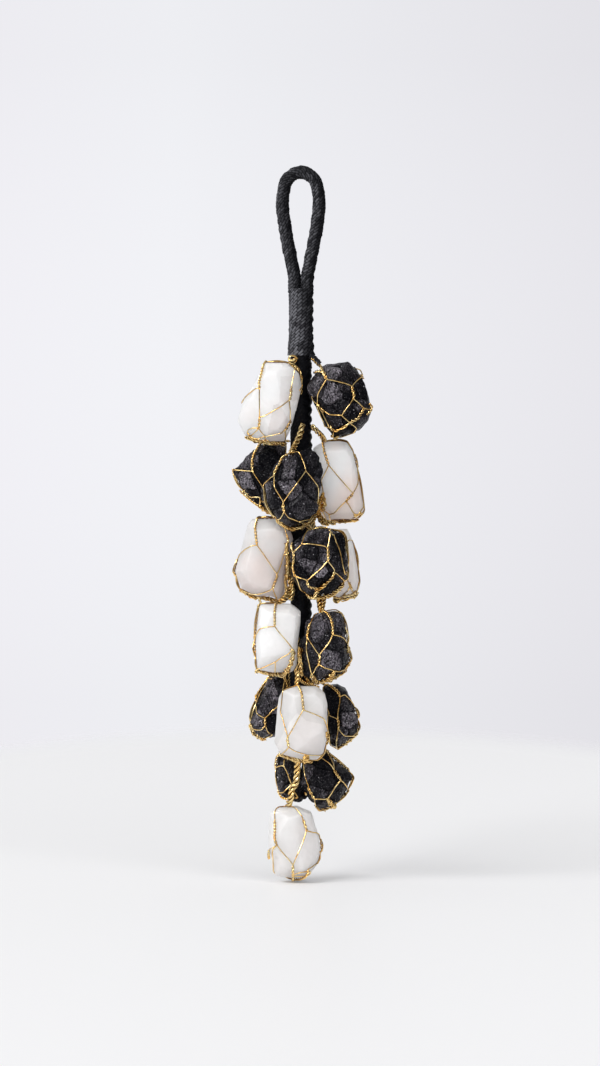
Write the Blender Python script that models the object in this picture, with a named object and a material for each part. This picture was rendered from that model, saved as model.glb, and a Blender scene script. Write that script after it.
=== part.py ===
"""Crystal door hanging: sixteen rough stones in gold wire nets on a black wrapped rope.

The origin is the inside of the loop's crown, where a hook or a knob carries the piece.
+Z is up, the front faces -Y, and the stones hang below. All the sizes here are in
millimetres and are turned into metres where a mesh is made.
"""

import math
from dataclasses import dataclass, field

import bmesh
import bpy
from mathutils import Vector

MM = 0.001
GAP = 0.3                      # left between pieces that touch

# ---- rope, binding and core -------------------------------------------------------------
ROPE_DIAMETER = 5.75
LOOP_HALF = [(0.0, 2.9), (6.4, -0.9), (8.45, -11.0), (7.2, -23.0), (5.0, -35.0), (3.25, -47.0)]
LOOP_END = (3.05, -50.4)       # the two ends meet the top of the binding here
LOOP_POINTS = 38
BINDING_TOP = -50.7
BINDING_BOTTOM = -81.6
BINDING_HALF_WIDTH = 5.55
BINDING_HALF_DEPTH = 4.7
BINDING_FLARE = 0.8            # the binding spreads this much at its foot
FLARE_SHARPNESS = 6            # and does so over its last turns only
BINDING_TURNS = 12
TURN_RELIEF = 0.3
CORE_RADIUS = 4.85
CORE_BOTTOM = -238.0
ROUND_SIDES = 12
CURVE_STEPS = 24               # between two points of a smooth curve
SMOOTH_ANGLE = 40.0

# ---- stones -----------------------------------------------------------------------------
SHOULDER = 0.3                 # share of a stone's depth from an end face to its full outline
MERGE_DISTANCE = 0.01
FLAT_ANGLE = 0.6               # neighbouring faces this close to flat become one
PARALLEL = 1e-6

# ---- wire -------------------------------------------------------------------------------
WIRE_SIDES = 3
STRAND = {"-": 0.45, "=": 0.65, "#": 0.95}   # radius: one wire, a twisted pair, a bundle
WIRE_LIFT = 0.8                # from a stone's face to the middle of a wire
DRAPE_STEPS = 18
DRAPE_TOLERANCE = 0.2
FIRST_REACH = 1.1              # of the thickest wire's radius, where a joint's wires begin
REACH_STEP = 1.12              # further out by this factor until they stand clear
LONGEST_REACH = 0.47           # of the shortest wire's length
RING_CLEARANCE = 0.02
SHORTEST_STEP = 0.05
BACK_INSET = 0.55              # the back cell's joints, from the edge towards the middle
STEM_OUTWARD = (0.35, -1.0, 0.1)

WHITE = ("quartz", (0.93, 0.91, 0.90), 0.3, 0.0)
BLACK = ("tourmaline", (0.035, 0.033, 0.037), 0.5, 0.0)
GOLD = ("gold_wire", (0.83, 0.62, 0.30), 0.25, 1.0)
CORD = ("black_cord", (0.018, 0.018, 0.02), 0.8, 0.0)


@dataclass
class Stone:
    """A rough block: its outline seen from the front, and where it lies in depth.

    front and back shrink the outline to each end face: (scale, shift in x, shift in z).
    cord_side is the direction, in degrees round Z, that keeps clear of the core cord.
    chips are planes that break corners off: (x, y, z, nx, ny, nz).
    """

    finish: tuple
    outline: list
    depth: tuple
    front: tuple = (0.76, 0.0, 0.0)
    back: tuple = (0.74, 0.0, 0.0)
    cord_side: float = None
    chips: list = field(default_factory=list)


@dataclass
class Net:
    """A wire net: joints on the front face, joints round the edge, and the wires.

    A wire is two joint names with - (one wire), = (a twisted pair) or # (a bundle).
    stem is the rope of wire ends that carries the stone: its radius and its points from
    the top down to joint t. back names the edge joints that the plain back cell joins.
    proud lifts the joints that sit on a sharp corner of the stone further off it.
    """

    front: dict
    edge: dict
    wires: str
    stem: tuple
    back: tuple
    proud: dict = field(default_factory=dict)


STONES = {
    "1_white_left": Stone(
        WHITE, [(-16, -85), (-6, -85), (-0.8, -90), (0.5, -96), (-2, -106), (-5.5, -117),
                (-7.5, -121), (-17, -121.3), (-25.5, -118.5), (-29.3, -112), (-26.5, -102.5),
                (-19.3, -94)],
        (-18, 5), front=(0.74, -0.5, 1.0), cord_side=233,
        chips=[(-9.5, -17.5, -95, 0.62, -0.77, 0.1), (-20, -16, -110, -0.5, -0.8, -0.3)]),
    "1_black_right": Stone(
        BLACK, [(11, -86), (16, -85.3), (22, -85.5), (27.5, -89.5), (30, -95), (33, -104.5),
                (31.5, -111), (27.5, -116.5), (20, -119), (15, -119.5), (10, -113),
                (5, -102), (2.6, -97), (5.8, -91.5)],
        (-17, 7), front=(0.74, 0.5, 0.5), cord_side=318,
        chips=[(20, -17, -95, 0.55, -0.8, 0.2), (14, -15, -88, -0.2, -0.75, 0.6)]),
    "2_black_left": Stone(
        BLACK, [(-17, -122.3), (-7, -122.6), (-6.3, -133), (-7, -146), (-12.5, -155),
                (-19, -151), (-26, -144.5), (-31.2, -135.5), (-25, -128.5)],
        (-3, 14), front=(0.72, 0.5, 0.5),
        chips=[(-22, -3, -135, -0.6, -0.8, 0.1)]),
    "2_black_middle": Stone(
        BLACK, [(-5, -127), (4.5, -124), (8.5, -127), (10.3, -135), (9, -143), (7, -152),
                (3.5, -157.5), (-1, -160), (-6.5, -159.3), (-11.5, -157), (-15.5, -149),
                (-16.6, -140.5), (-11, -130.5)],
        (-25.5, -8), front=(0.72, -1.0, -2.0),
        chips=[(4.5, -21, -134, 0.45, -0.8, 0.4), (3, -24, -149, 0.4, -0.85, -0.3)]),
    "2_white_right": Stone(
        WHITE, [(5.6, -124.5), (10, -121.8), (21, -121.5), (24, -126), (25.8, -136),
                (28, -146), (29.3, -153), (26.5, -157.3), (12, -157.8), (7.5, -153),
                (6.0, -138)],
        (-4.5, 14), front=(0.8, 0.5, -0.5),
        chips=[(9.5, -4, -136, -0.7, -0.7, 0.05), (25.5, -3, -142, 0.7, -0.7, 0.05)]),
    "3_white_left": Stone(
        WHITE, [(-22.5, -157.4), (-11, -157.3), (-5.5, -161.5), (-3.6, -166), (-5.4, -172),
                (-7.8, -184), (-10.5, -192.2), (-20, -192.8), (-27.5, -189.3),
                (-30.2, -181), (-26.5, -168), (-24.6, -160)],
        (-16, 6), front=(0.77, 0.5, -0.5), cord_side=208,
        chips=[(-22, -15.5, -165, -0.75, -0.62, 0.2), (-13, -15, -186, 0.55, -0.8, -0.25)]),
    "3_black_middle": Stone(
        BLACK, [(-4.6, -169.3), (3, -162.2), (8, -161.2), (15.5, -161.4), (20.3, -166),
                (20.6, -173), (20.8, -185), (14, -190.8), (5, -192.3), (0, -190),
                (-4.4, -182.5)],
        (-25.5, -8), front=(0.74, -0.5, -1.0),
        chips=[(8, -24, -186, 0.35, -0.8, -0.5), (14, -23, -168, 0.6, -0.75, 0.2)]),
    "3_white_right": Stone(
        WHITE, [(13, -162.6), (21.5, -162.3), (23.6, -167), (25.4, -175), (26.7, -186),
                (25.6, -192.4), (18, -193.8), (12, -192), (10.8, -176)],
        (-2.5, 13), front=(0.8, 0.0, 0.0)),
    "4_white_left": Stone(
        WHITE, [(-19, -196.4), (-4.5, -196.5), (-0.2, -199.5), (-0.4, -206), (-1.7, -216),
                (-2.6, -223), (-4.5, -227), (-12, -227.8), (-20.3, -226.4),
                (-20.8, -214), (-19.8, -203)],
        (-19, 1), front=(0.8, -0.5, 0.0), cord_side=240,
        chips=[(-15.5, -18.5, -203, -0.5, -0.85, 0.15), (-14, -18, -221, 0.1, -0.8, -0.6)]),
    "4_black_right": Stone(
        BLACK, [(9, -200.2), (16, -199.4), (19.3, -200.5), (20.2, -208), (21.6, -217),
                (21.8, -224), (18, -228.8), (9, -231), (3.5, -230.3), (0, -228),
                (-1.1, -221), (0.7, -210), (2.2, -204)],
        (-19, 3), front=(0.77, 0.5, 0.0), cord_side=300,
        chips=[(15, -18.5, -206, 0.45, -0.82, 0.35), (5, -18, -224, -0.4, -0.85, -0.3)]),
    "5_black_left": Stone(
        BLACK, [(-15.5, -232.8), (-11, -230.6), (-7.4, -231.5), (-7.5, -246), (-9.5, -257),
                (-13.5, -259.6), (-18, -260), (-22, -257), (-23.5, -251.5), (-19.8, -240)],
        (-3, 14), front=(0.72, 0.5, 0.0)),
    "5_white_middle": Stone(
        WHITE, [(-8, -235.5), (-1, -233.6), (7, -234), (11, -236.8), (12.2, -242),
                (12, -256), (10.5, -264), (7.5, -267.4), (0, -267.4), (-9.5, -264.6),
                (-12.3, -259.5), (-10.8, -248), (-10.2, -239.5)],
        (-25, -8), front=(0.8, 0.5, 0.0),
        chips=[(-5, -24.5, -246, -0.7, -0.7, 0.1), (6, -24, -259, 0.3, -0.85, -0.4)]),
    "5_black_right": Stone(
        BLACK, [(10.3, -236), (17, -234.4), (20.8, -236.8), (22.3, -243), (26.6, -251.5),
                (26.2, -256.8), (20.5, -261.3), (17.3, -263.8), (13, -261.5), (10.3, -252)],
        (-3, 14), front=(0.72, 0.0, 0.0),
        chips=[(18, -3, -246, -0.35, -0.9, 0.1)]),
    "6_black_left": Stone(
        BLACK, [(-9.8, -266.8), (-3, -267.6), (-1, -270), (-1.2, -279), (1.6, -285.3),
                (-0.8, -288.3), (-6, -288.2), (-9.6, -284.5), (-11.4, -276)],
        (-7, 9), front=(0.72, 0.0, 0.0)),
    "6_black_right": Stone(
        BLACK, [(0.6, -270), (4.5, -267.2), (10.8, -265), (16, -268), (22.3, -274.5),
                (23.8, -278.5), (20.5, -284), (16, -290), (9, -292), (5.8, -290),
                (2.2, -281.5), (0.4, -276)],
        (-8, 11), front=(0.72, 0.0, 0.0),
        chips=[(3, -6, -275, -0.85, -0.5, 0.1), (16, -7.5, -283, 0.5, -0.7, -0.5)]),
    "7_white_bottom": Stone(
        WHITE, [(-10.5, -291), (-1.5, -290.6), (4, -293.8), (8.2, -304), (9, -310.5),
                (7.6, -317), (3, -322), (-4, -323.2), (-10.5, -319.8), (-14.3, -311),
                (-14.9, -299), (-13.4, -293.6)],
        (-17, 5), front=(0.74, 0.0, 0.0),
        chips=[(-1.5, -16.5, -305, 0.45, -0.88, 0.1), (-9, -16, -298, -0.5, -0.8, 0.3)]),
}

NETS = {
    "1_white_left": Net(
        {"a1": (-4.4, -96), "a2": (-5.4, -102), "b1": (-19, -109.8), "b2": (-19.5, -115),
         "c2": (-19, -96.5), "d1": (-4.8, -111.5), "d2": (-7.3, -115.6), "e": (-16.3, -118.8)},
        {"t": (-5.6, -85), "r1": (-0.2, -91.5), "r2": (-0.6, -99.5), "l1": (-15.8, -85.2),
         "g": (-27, -103.5), "f": (-25, -118.3), "k": (-17.5, -121.5), "h": (-7.8, -121)},
        "t=r1 r1=r2 t-a1 a1=a2 a2-b1 a2-d1 d1=d2 t-l1 l1=c2 c2-b1 c2-g b1=b2 b2-f b2-e"
        " e-d2 d2-h f#k k#h e-k",
        (0.9, [(-1.6, -6.2, -82.8)]), (("g", "l1"), ("f", "h"))),
    "1_black_right": Net(
        {"a": (11.7, -92.4), "b1": (23.6, -95.7), "b2": (24, -101.4), "c1": (7.6, -103.8),
         "c2": (10.9, -107), "g": (18.8, -108.9), "f1": (29, -105.8), "h": (22.4, -112.3),
         "m": (15.4, -116), "n": (25.6, -115.2), "q": (12.6, -113.2)},
        {"t": (9.6, -87.5), "e": (28.6, -91.7), "o": (32.6, -106.5), "p": (15, -119.3)},
        "t=a a-b1 a-c1 b1=b2 b1-e b2-g b2-f1 f1=h c1=c2 c2-g g-h c1-q h=m h-n n=p f1-o q=m m-p",
        (0.9, [(4.9, -4.4, -82.6)]), (("t", "e"), ("o", "p")), {"h": 0.3, "m": 0.3}),
    "2_black_left": Net(
        {"a": (-22.3, -135.2), "c": (-16.5, -145), "d": (-19, -147.2)},
        {"t": (-12, -122.4), "s": (-18.6, -123.5), "b": (-30.8, -135.6), "e": (-26.5, -143.8),
         "f": (-19.5, -150.7), "k": (-12.8, -154.8)},
        "t-s s-a a-b a-c b-e e-d e=f d-f c-k f#k",
        (0.7, [(-5.2, 2.0, -121.4), (-8, 4.5, -121.3)]), (("t", "b"), ("e", "k"))),
    "2_black_middle": Net(
        {"a": (2.3, -134.3), "l1": (-10, -131.8), "l2": (-12.2, -136.6), "c1": (-8, -148.4),
         "c2": (-7.7, -153), "f": (-0.8, -157.6), "b": (7.8, -141.5)},
        {"t": (-4.6, -126.8), "m": (-16.6, -140.8), "e": (-11.8, -156.8), "g": (7.2, -151.5),
         "h": (2.6, -158.2)},
        "t-a a-b a-c1 t=l1 l1=l2 l2-m l2-c1 c1=c2 c2-e c2-f f-g b-g m-e e#h f-h g-h",
        (1.2, [(0.8, -6.6, -113), (-0.4, -6.8, -118), (-2.6, -9.5, -122.8)]),
        (("t", "m"), ("e", "g"))),
    "2_white_right": Net(
        {"a": (12.8, -132.2), "c": (24, -145.2), "d": (20.8, -149), "e": (13, -155.2),
         "f": (25, -155), "g": (11.3, -149.3), "b": (9.3, -139.5), "j": (9.3, -152.4)},
        {"t": (11, -121.8), "r1": (24.4, -128), "r2": (25.6, -134), "s": (29.2, -152.5),
         "k": (14, -157.9), "n": (26, -157.2)},
        "t=a t-r1 r1=r2 r2-c r2-s a-c a-b c=d d-e d-f s-f e-k k#n f-n s-n b-g g=j j-k j-e",
        (1.2, [(4.9, -4.2, -114), (7.4, -3.5, -116.6), (9.8, 0.0, -119.2)]),
        (("t", "r2"), ("s", "k")), {"f": 0.5, "n": 0.3}),
    "3_white_left": Net(
        {"a": (-20.2, -168.7), "b": (-11, -182.3), "b2": (-13, -188.6), "r": (-7.2, -171.5),
         "u": (-6.5, -164.5)},
        {"t": (-13, -157.3), "s": (-18.5, -157.5), "l1": (-29, -176), "l2": (-29.6, -183),
         "m": (-27.5, -189.2), "n": (-19.5, -192.8), "e": (-11.5, -192.5)},
        "t=s s=a a-b a-l1 l1=l2 b-r b=b2 b2-m b2-e l2-m m#n n#e t-u u=r",
        (0.8, [(-5.3, 0.9, -155.6), (-9, -2.4, -155.4)]), (("s", "l1"), ("m", "e")), {"m": 0.6}),
    "3_black_middle": Net(
        {"a1": (12.3, -169.8), "a2": (12.4, -175.4), "c": (0.4, -167.9), "e": (3.1, -184.4),
         "f": (15.4, -180.7), "g": (11.2, -186), "i": (7.8, -188.4), "d": (-3.2, -176),
         "k": (-2.4, -182.5)},
        {"t": (5, -161.8), "p": (12.3, -161.2), "w": (20.8, -178), "h": (19.8, -186),
         "j": (3.8, -192)},
        "t=p p-a1 p-w c-a1 c-d c-t a1=a2 a2-e a2-f f=g f-h g#i e=i d=k k-e k-j i#j h#j w-h",
        (1.0, [(1.6, -6.6, -158), (2.6, -9.5, -159.4)]), (("t", "w"), ("h", "j"))),
    "3_white_right": Net(
        {"a": (20.6, -169), "b": (20.4, -181), "c": (22.6, -188.6)},
        {"r": (24.2, -169.5), "s": (26.4, -181), "e": (25.8, -191.5), "k": (16.5, -193.6),
         "t": (11.2, -184)},
        "t-a a-r a-b b-c c-k c-e r-s s-e k#e t-k",
        (0.7, [(5.3, 1.6, -182.0)]), (("t", "r"), ("k", "e"))),
    "4_white_left": Net(
        {"a": (-12, -206), "e": (-11.8, -222.6), "c": (-3.7, -216.5), "r": (-5.6, -225.6)},
        {"t": (-11, -196.6), "l": (-18.6, -196.6), "b": (-20.8, -213.2), "m": (-20.5, -220),
         "n": (-20, -226.2), "d": (-11.5, -227.7)},
        "t=a a-b a-c t-l l=b b=m m-n m-e c#r c-e e-d n#d d#r",
        (1.1, [(-4.4, -4.4, -184.5), (-4.6, -6.2, -190), (-7, -8.4, -194.2)]),
        (("l", "b"), ("n", "d")), {"c": 0.6, "r": 0.5}),
    "4_black_right": Net(
        {"a": (14.6, -209.8), "b1": (8.5, -219.2), "b2": (8.5, -223.7), "d": (5, -228.4),
         "e": (15.4, -226.4), "l0": (4.4, -205), "l1": (2.9, -210.5)},
        {"t": (9.2, -200.2), "c1": (21.4, -216), "c2": (21.6, -224.5), "r": (19.5, -201),
         "f": (9, -231)},
        "t=a a-b1 a-c1 t-l0 l0=l1 l1-b1 l1-d b1=b2 b2-d b2-e c1=c2 e-c2 e#f t-r r-c1 c2#f d#f",
        (1.2, [(6.8, -2.5, -190), (8.2, -4.8, -194.6)]), (("r", "c1"), ("c2", "f")),
        {"e": 0.5}),
    "5_black_left": Net(
        {"a1": (-16.6, -249.6), "a2": (-16.4, -253.2), "r": (-11, -244.5), "b": (-13.2, -257.6)},
        {"t": (-9.2, -230.8), "l0": (-12.8, -231.2), "l1": (-20.4, -242), "l2": (-23.4, -253),
         "k": (-17.5, -260)},
        "t=l0 l0=l1 l1-a1 l1-l2 a1-r t-r a1=a2 a2-l2 a2-b l2#k k-b",
        (0.7, [(-3.9, 4.1, -229.2), (-6.2, 5.4, -228.9)]), (("l0", "l1"), ("l2", "k"))),
    "5_white_middle": Net(
        {"a": (1.2, -244), "b1": (-6, -256.5), "b2": (-5.6, -261.2), "e": (2.7, -265),
         "l": (-9.4, -245.5)},
        {"t": (-2, -233.7), "c1": (12, -255.8), "c2": (11.2, -260.2), "d": (-9.4, -264.7),
         "g": (4.5, -267.4)},
        "t=a a-b1 a-c1 t-l l-b1 b1=b2 b2-d b2-e c1=c2 c2-e c2-g d#g e-g",
        (1.2, [(-1.3, -17.6, -226.8), (-1.6, -17.2, -230.2)]), (("t", "c1"), ("d", "g"))),
    "5_black_right": Net(
        {"a": (18.2, -239.9), "b1": (17.2, -250.3), "b2": (17.4, -254.2), "l": (13.2, -247.8),
         "e": (13.2, -257.4)},
        {"t": (12, -235.6), "r1": (24, -246), "r2": (26.5, -251), "c": (26, -257),
         "d": (17, -263.8)},
        "t=a a-b1 a-r1 l-b1 t-l b1=b2 b2-c b2-d r1=r2 r2-c e-d l-e c#d",
        (0.7, [(3.9, 4.1, -232.6), (8, 5.0, -233.2)]), (("t", "r1"), ("c", "d")), {"d": 0.6}),
    "6_black_left": Net(
        {"a": (-7.9, -271.6), "b": (-4.3, -280), "m": (-1.4, -286.2), "k": (-6, -286.9)},
        {"t": (-6, -267.2), "l0": (-9.8, -267), "l1": (-11, -274), "l2": (-10, -282.6)},
        "t=l0 l0=l1 l1-a t-a a-b l1-l2 l2-b b-m l2=k k-m",
        (0.8, [(-2.6, -1.0, -238.4), (-3.6, -2.0, -250), (-4.4, -1.0, -263.0)]),
        (("t", "l1"), ("l2",)), {"l2": 0.5}),
    "6_black_right": Net(
        {"a1": (15.4, -273.6), "a2": (18.4, -278.1), "l1": (3.6, -281), "l2": (6.6, -286.8),
         "b": (12.3, -286.8)},
        {"t": (3.6, -267.7), "s": (11, -265.1), "r1": (22.6, -275), "r2": (21.2, -283),
         "q": (15.8, -290.2), "p": (7, -290.8)},
        "t-a1 t-l1 t-s s-a1 s=r1 a1=a2 a2-r2 a2-b l1=l2 l2-b l2-p r1-r2 r2=q b#q p#q",
        (0.8, [(2.6, -1.0, -238.4), (3.2, -2.6, -250), (3.4, -0.5, -263.5)]),
        (("s", "r1"), ("q", "p")), {"s": 0.6, "b": 0.7, "q": 0.3}),
    "7_white_bottom": Net(
        {"l0": (-12, -296), "l1": (-11, -307), "a1": (-3.6, -316.4), "r0": (1, -295.8),
         "r1": (2.6, -300.8), "x": (-13.2, -310.5), "z": (3.4, -318.6)},
        {"t": (-5.8, -290.8), "s1": (8.8, -305.8), "s2": (8.9, -311), "y": (-8.5, -320.8),
         "a2": (-3.8, -323.2)},
        "t-l0 l0=l1 l1-a1 l1-x t-r0 r0=r1 r1-a1 r1-s1 s1=s2 s2-z a1=a2 a2#z a2-y x-y",
        (1.2, [(-1.4, -15.2, -271), (-2.2, -13.2, -273.6), (-3.4, -12.2, -280),
               (-5.0, -10.2, -286.2)]),
        (("t", "s1"), ("y", "s2")), {"a2": 0.7}),
}


# ---- curves and solids --------------------------------------------------------------------
def catmull_rom(points, count):
    """Count points spread evenly along the smooth curve through the given points."""
    points = [Vector(p) for p in points]
    ends = [2 * points[0] - points[1]] + points + [2 * points[-1] - points[-2]]
    dense = []
    for a, b, c, d in zip(ends, ends[1:], ends[2:], ends[3:]):
        for step in range(CURVE_STEPS):
            t = step / CURVE_STEPS
            dense.append(0.5 * (2 * b + (c - a) * t + (2 * a - 5 * b + 4 * c - d) * t ** 2
                                + (3 * b - a - 3 * c + d) * t ** 3))
    dense.append(points[-1])
    lengths = [0.0]
    for a, b in zip(dense, dense[1:]):
        lengths.append(lengths[-1] + (b - a).length)
    spread = []
    i = 0
    for k in range(count):
        goal = lengths[-1] * k / (count - 1)
        while i < len(dense) - 2 and lengths[i + 1] < goal:
            i += 1
        part = (goal - lengths[i]) / (lengths[i + 1] - lengths[i])
        spread.append(dense[i].lerp(dense[i + 1], part))
    return spread


def hull(points):
    """The closed convex body round the points, with its flat faces whole."""
    body = bmesh.new()
    for point in points:
        body.verts.new(point)
    bmesh.ops.convex_hull(body, input=body.verts)
    loose = [v for v in body.verts if not v.link_faces]
    bmesh.ops.delete(body, geom=loose, context="VERTS")
    bmesh.ops.remove_doubles(body, verts=body.verts, dist=MERGE_DISTANCE)
    bmesh.ops.dissolve_limit(body, angle_limit=math.radians(FLAT_ANGLE), verts=body.verts,
                             edges=body.edges)
    bmesh.ops.recalc_face_normals(body, faces=body.faces)
    return body


def stone_body(stone):
    """A block from four rings of its outline: an end face, two shoulders, an end face.

    Planes then break off its chips and the side that would meet the core cord.
    """
    centre_x = sum(x for x, z in stone.outline) / len(stone.outline)
    centre_z = sum(z for x, z in stone.outline) / len(stone.outline)
    near, far = stone.depth
    shoulder = SHOULDER * (far - near)
    rings = [(near, stone.front), (near + shoulder, (1.0, 0.0, 0.0)),
             (far - shoulder, (1.0, 0.0, 0.0)), (far, stone.back)]
    points = []
    for y, (scale, shift_x, shift_z) in rings:
        for x, z in stone.outline:
            points.append((centre_x + scale * (x - centre_x) + shift_x, y,
                           centre_z + scale * (z - centre_z) + shift_z))
    planes = [((x, y, z), (nx, ny, nz)) for x, y, z, nx, ny, nz in stone.chips]
    if stone.cord_side is not None:
        angle = math.radians(stone.cord_side)
        outward = Vector((math.cos(angle), math.sin(angle), 0.0))
        planes.append(((CORE_RADIUS + 2 * GAP) * outward, -outward))
    body = hull(points)
    for place, normal in planes:
        geometry = body.verts[:] + body.edges[:] + body.faces[:]
        bmesh.ops.bisect_plane(body, geom=geometry, plane_co=place, plane_no=normal,
                               clear_outer=True)
        points = [v.co.copy() for v in body.verts]
        body.free()
        body = hull(points)
    return body


def face_planes(body):
    """Each face's outward normal and its distance from the origin."""
    return [(f.normal.copy(), f.normal.dot(f.verts[0].co)) for f in body.faces]


class Surface:
    """The skin on which a stone's wires lie, WIRE_LIFT outside its faces."""

    def __init__(self, body):
        """Read the planes of the stone's body."""
        self.planes = [(n, h + WIRE_LIFT) for n, h in face_planes(body)]
        xs, ys, zs = zip(*[v.co for v in body.verts])
        self.centre = Vector(((min(xs) + max(xs)) / 2, (min(ys) + max(ys)) / 2,
                              (min(zs) + max(zs)) / 2))

    def outward(self, point, extra=0.0):
        """The point pushed along its line from the stone's centre onto the skin."""
        ray = (point - self.centre).normalized()
        reach = min((h - n.dot(self.centre)) / n.dot(ray)
                    for n, h in self.planes if n.dot(ray) > PARALLEL)
        return self.centre + ray * (reach + extra)

    def facing(self, x, z, side):
        """The skin's point at (x, z) on the front (side -1) or on the back (side 1)."""
        depths = [(h - n.x * x - n.z * z) / n.y for n, h in self.planes
                  if n.y * side > PARALLEL]
        y = min(depths) if side > 0 else max(depths)
        return self.outward(Vector((x, y, z)))

    def drape(self, start, end, lift_start, lift_end):
        """The wire's path from start to end over the stone, with only the bends it needs."""
        path = [start]
        for step in range(1, DRAPE_STEPS):
            part = step / DRAPE_STEPS
            extra = lift_start * (1 - part) ** 2 + lift_end * part ** 2
            path.append(self.outward(start.lerp(end, part), extra))
        path.append(end)
        return simplify(path, DRAPE_TOLERANCE)


def simplify(path, tolerance):
    """The path without the points that lie within the tolerance of a straight run."""
    if len(path) < 3:
        return path
    start, end = path[0], path[-1]
    run = (end - start).normalized()
    offsets = [((p - start) - (p - start).dot(run) * run).length for p in path]
    worst = max(range(len(path)), key=offsets.__getitem__)
    if offsets[worst] <= tolerance:
        return [start, end]
    return simplify(path[:worst + 1], tolerance)[:-1] + simplify(path[worst:], tolerance)


# ---- wire nets ----------------------------------------------------------------------------
def trim(path, length):
    """The path without its first stretch of the given length."""
    rest = length
    for i in range(len(path) - 1):
        step = path[i + 1] - path[i]
        if step.length > rest + SHORTEST_STEP:
            return [path[i] + step.normalized() * rest] + path[i + 1:]
        rest = max(rest - step.length, 0.0)
    return path[-2:]


def length_of(path):
    """The path's length."""
    return sum((b - a).length for a, b in zip(path, path[1:]))


def ring_corners(point, along, outward, radius):
    """WIRE_SIDES corners round the point, the first one outward."""
    side = along.cross(outward).normalized()
    up = side.cross(along).normalized()
    corners = []
    for k in range(WIRE_SIDES):
        angle = 2 * math.pi * k / WIRE_SIDES
        corners.append(point + radius * (math.cos(angle) * up + math.sin(angle) * side))
    return corners


class WireFrame:
    """Wires that meet at joints, grown into one closed body."""

    def __init__(self, outward):
        """outward(point) gives the direction away from what the wires lie on."""
        self.outward = outward
        self.wires = []

    def add(self, start, end, radius, path):
        """A wire between two named joints along a path of points."""
        self.wires.append((start, end, radius, path))

    def joint_reach(self, joint):
        """How far from the joint its wires begin, so that their ends stay clear."""
        arms = []
        for start, end, radius, path in self.wires:
            if start == joint:
                arms.append((radius, path))
            if end == joint:
                arms.append((radius, path[::-1]))
        if len(arms) == 1:
            return 0.0
        reach = FIRST_REACH * max(radius for radius, path in arms)
        limit = LONGEST_REACH * min(length_of(path) for radius, path in arms)
        while reach < limit:
            ends = [(trim(path, reach), radius) for radius, path in arms]
            rings = [(cut[0], (cut[1] - cut[0]).normalized(), radius) for cut, radius in ends]
            if all(self.clear(rings, i) for i in range(len(rings))):
                return reach
            reach *= REACH_STEP
        raise ValueError("the wires at joint %s are too crowded" % joint)

    def clear(self, rings, i):
        """Whether every other ring lies behind the plane of ring i."""
        point, along, _ = rings[i]
        for j, (other, direction, radius) in enumerate(rings):
            if j == i:
                continue
            corners = ring_corners(other, direction, self.outward(other), radius)
            if max((corner - point).dot(along) for corner in corners) > -RING_CLEARANCE:
                return False
        return True

    def body(self):
        """The closed body: a prism along each wire and a hull at each joint."""
        body = bmesh.new()
        reach = {}
        ends = {}
        for start, end, _, _ in self.wires:
            for joint in (start, end):
                if joint not in reach:
                    reach[joint] = self.joint_reach(joint)
                    ends[joint] = []
        for start, end, radius, path in self.wires:
            cut = trim(path, reach[start])
            cut = trim(cut[::-1], reach[end])[::-1]
            rings = []
            for i, point in enumerate(cut):
                before = (point - cut[i - 1]).normalized() if i else Vector()
                after = (cut[i + 1] - point).normalized() if i + 1 < len(cut) else Vector()
                along = (before + after).normalized()
                corners = ring_corners(point, along, self.outward(point), radius)
                rings.append([body.verts.new(corner) for corner in corners])
            for ring, following in zip(rings, rings[1:]):
                for k in range(WIRE_SIDES):
                    after = (k + 1) % WIRE_SIDES
                    body.faces.new((ring[k], ring[after], following[after], following[k]))
            ends[start].append(rings[0])
            ends[end].append(rings[-1])
        for joint, rings in ends.items():
            self.close(body, rings)
        bmesh.ops.triangulate(body, faces=body.faces)
        bmesh.ops.recalc_face_normals(body, faces=body.faces)
        return body

    def close(self, body, rings):
        """Cap a free end, or join the rings of a joint with the hull round them."""
        if len(rings) == 1:
            body.faces.new(rings[0])
            return
        corners = [corner for ring in rings for corner in ring]
        shell = bmesh.new()
        twins = {shell.verts.new(corner.co): corner for corner in corners}
        bmesh.ops.convex_hull(shell, input=shell.verts)
        ring_of = {corner: i for i, ring in enumerate(rings) for corner in ring}
        for face in shell.faces:
            trio = [twins[v] for v in face.verts]
            if len({ring_of[corner] for corner in trio}) > 1:
                body.faces.new(trio)
        shell.free()


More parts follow.
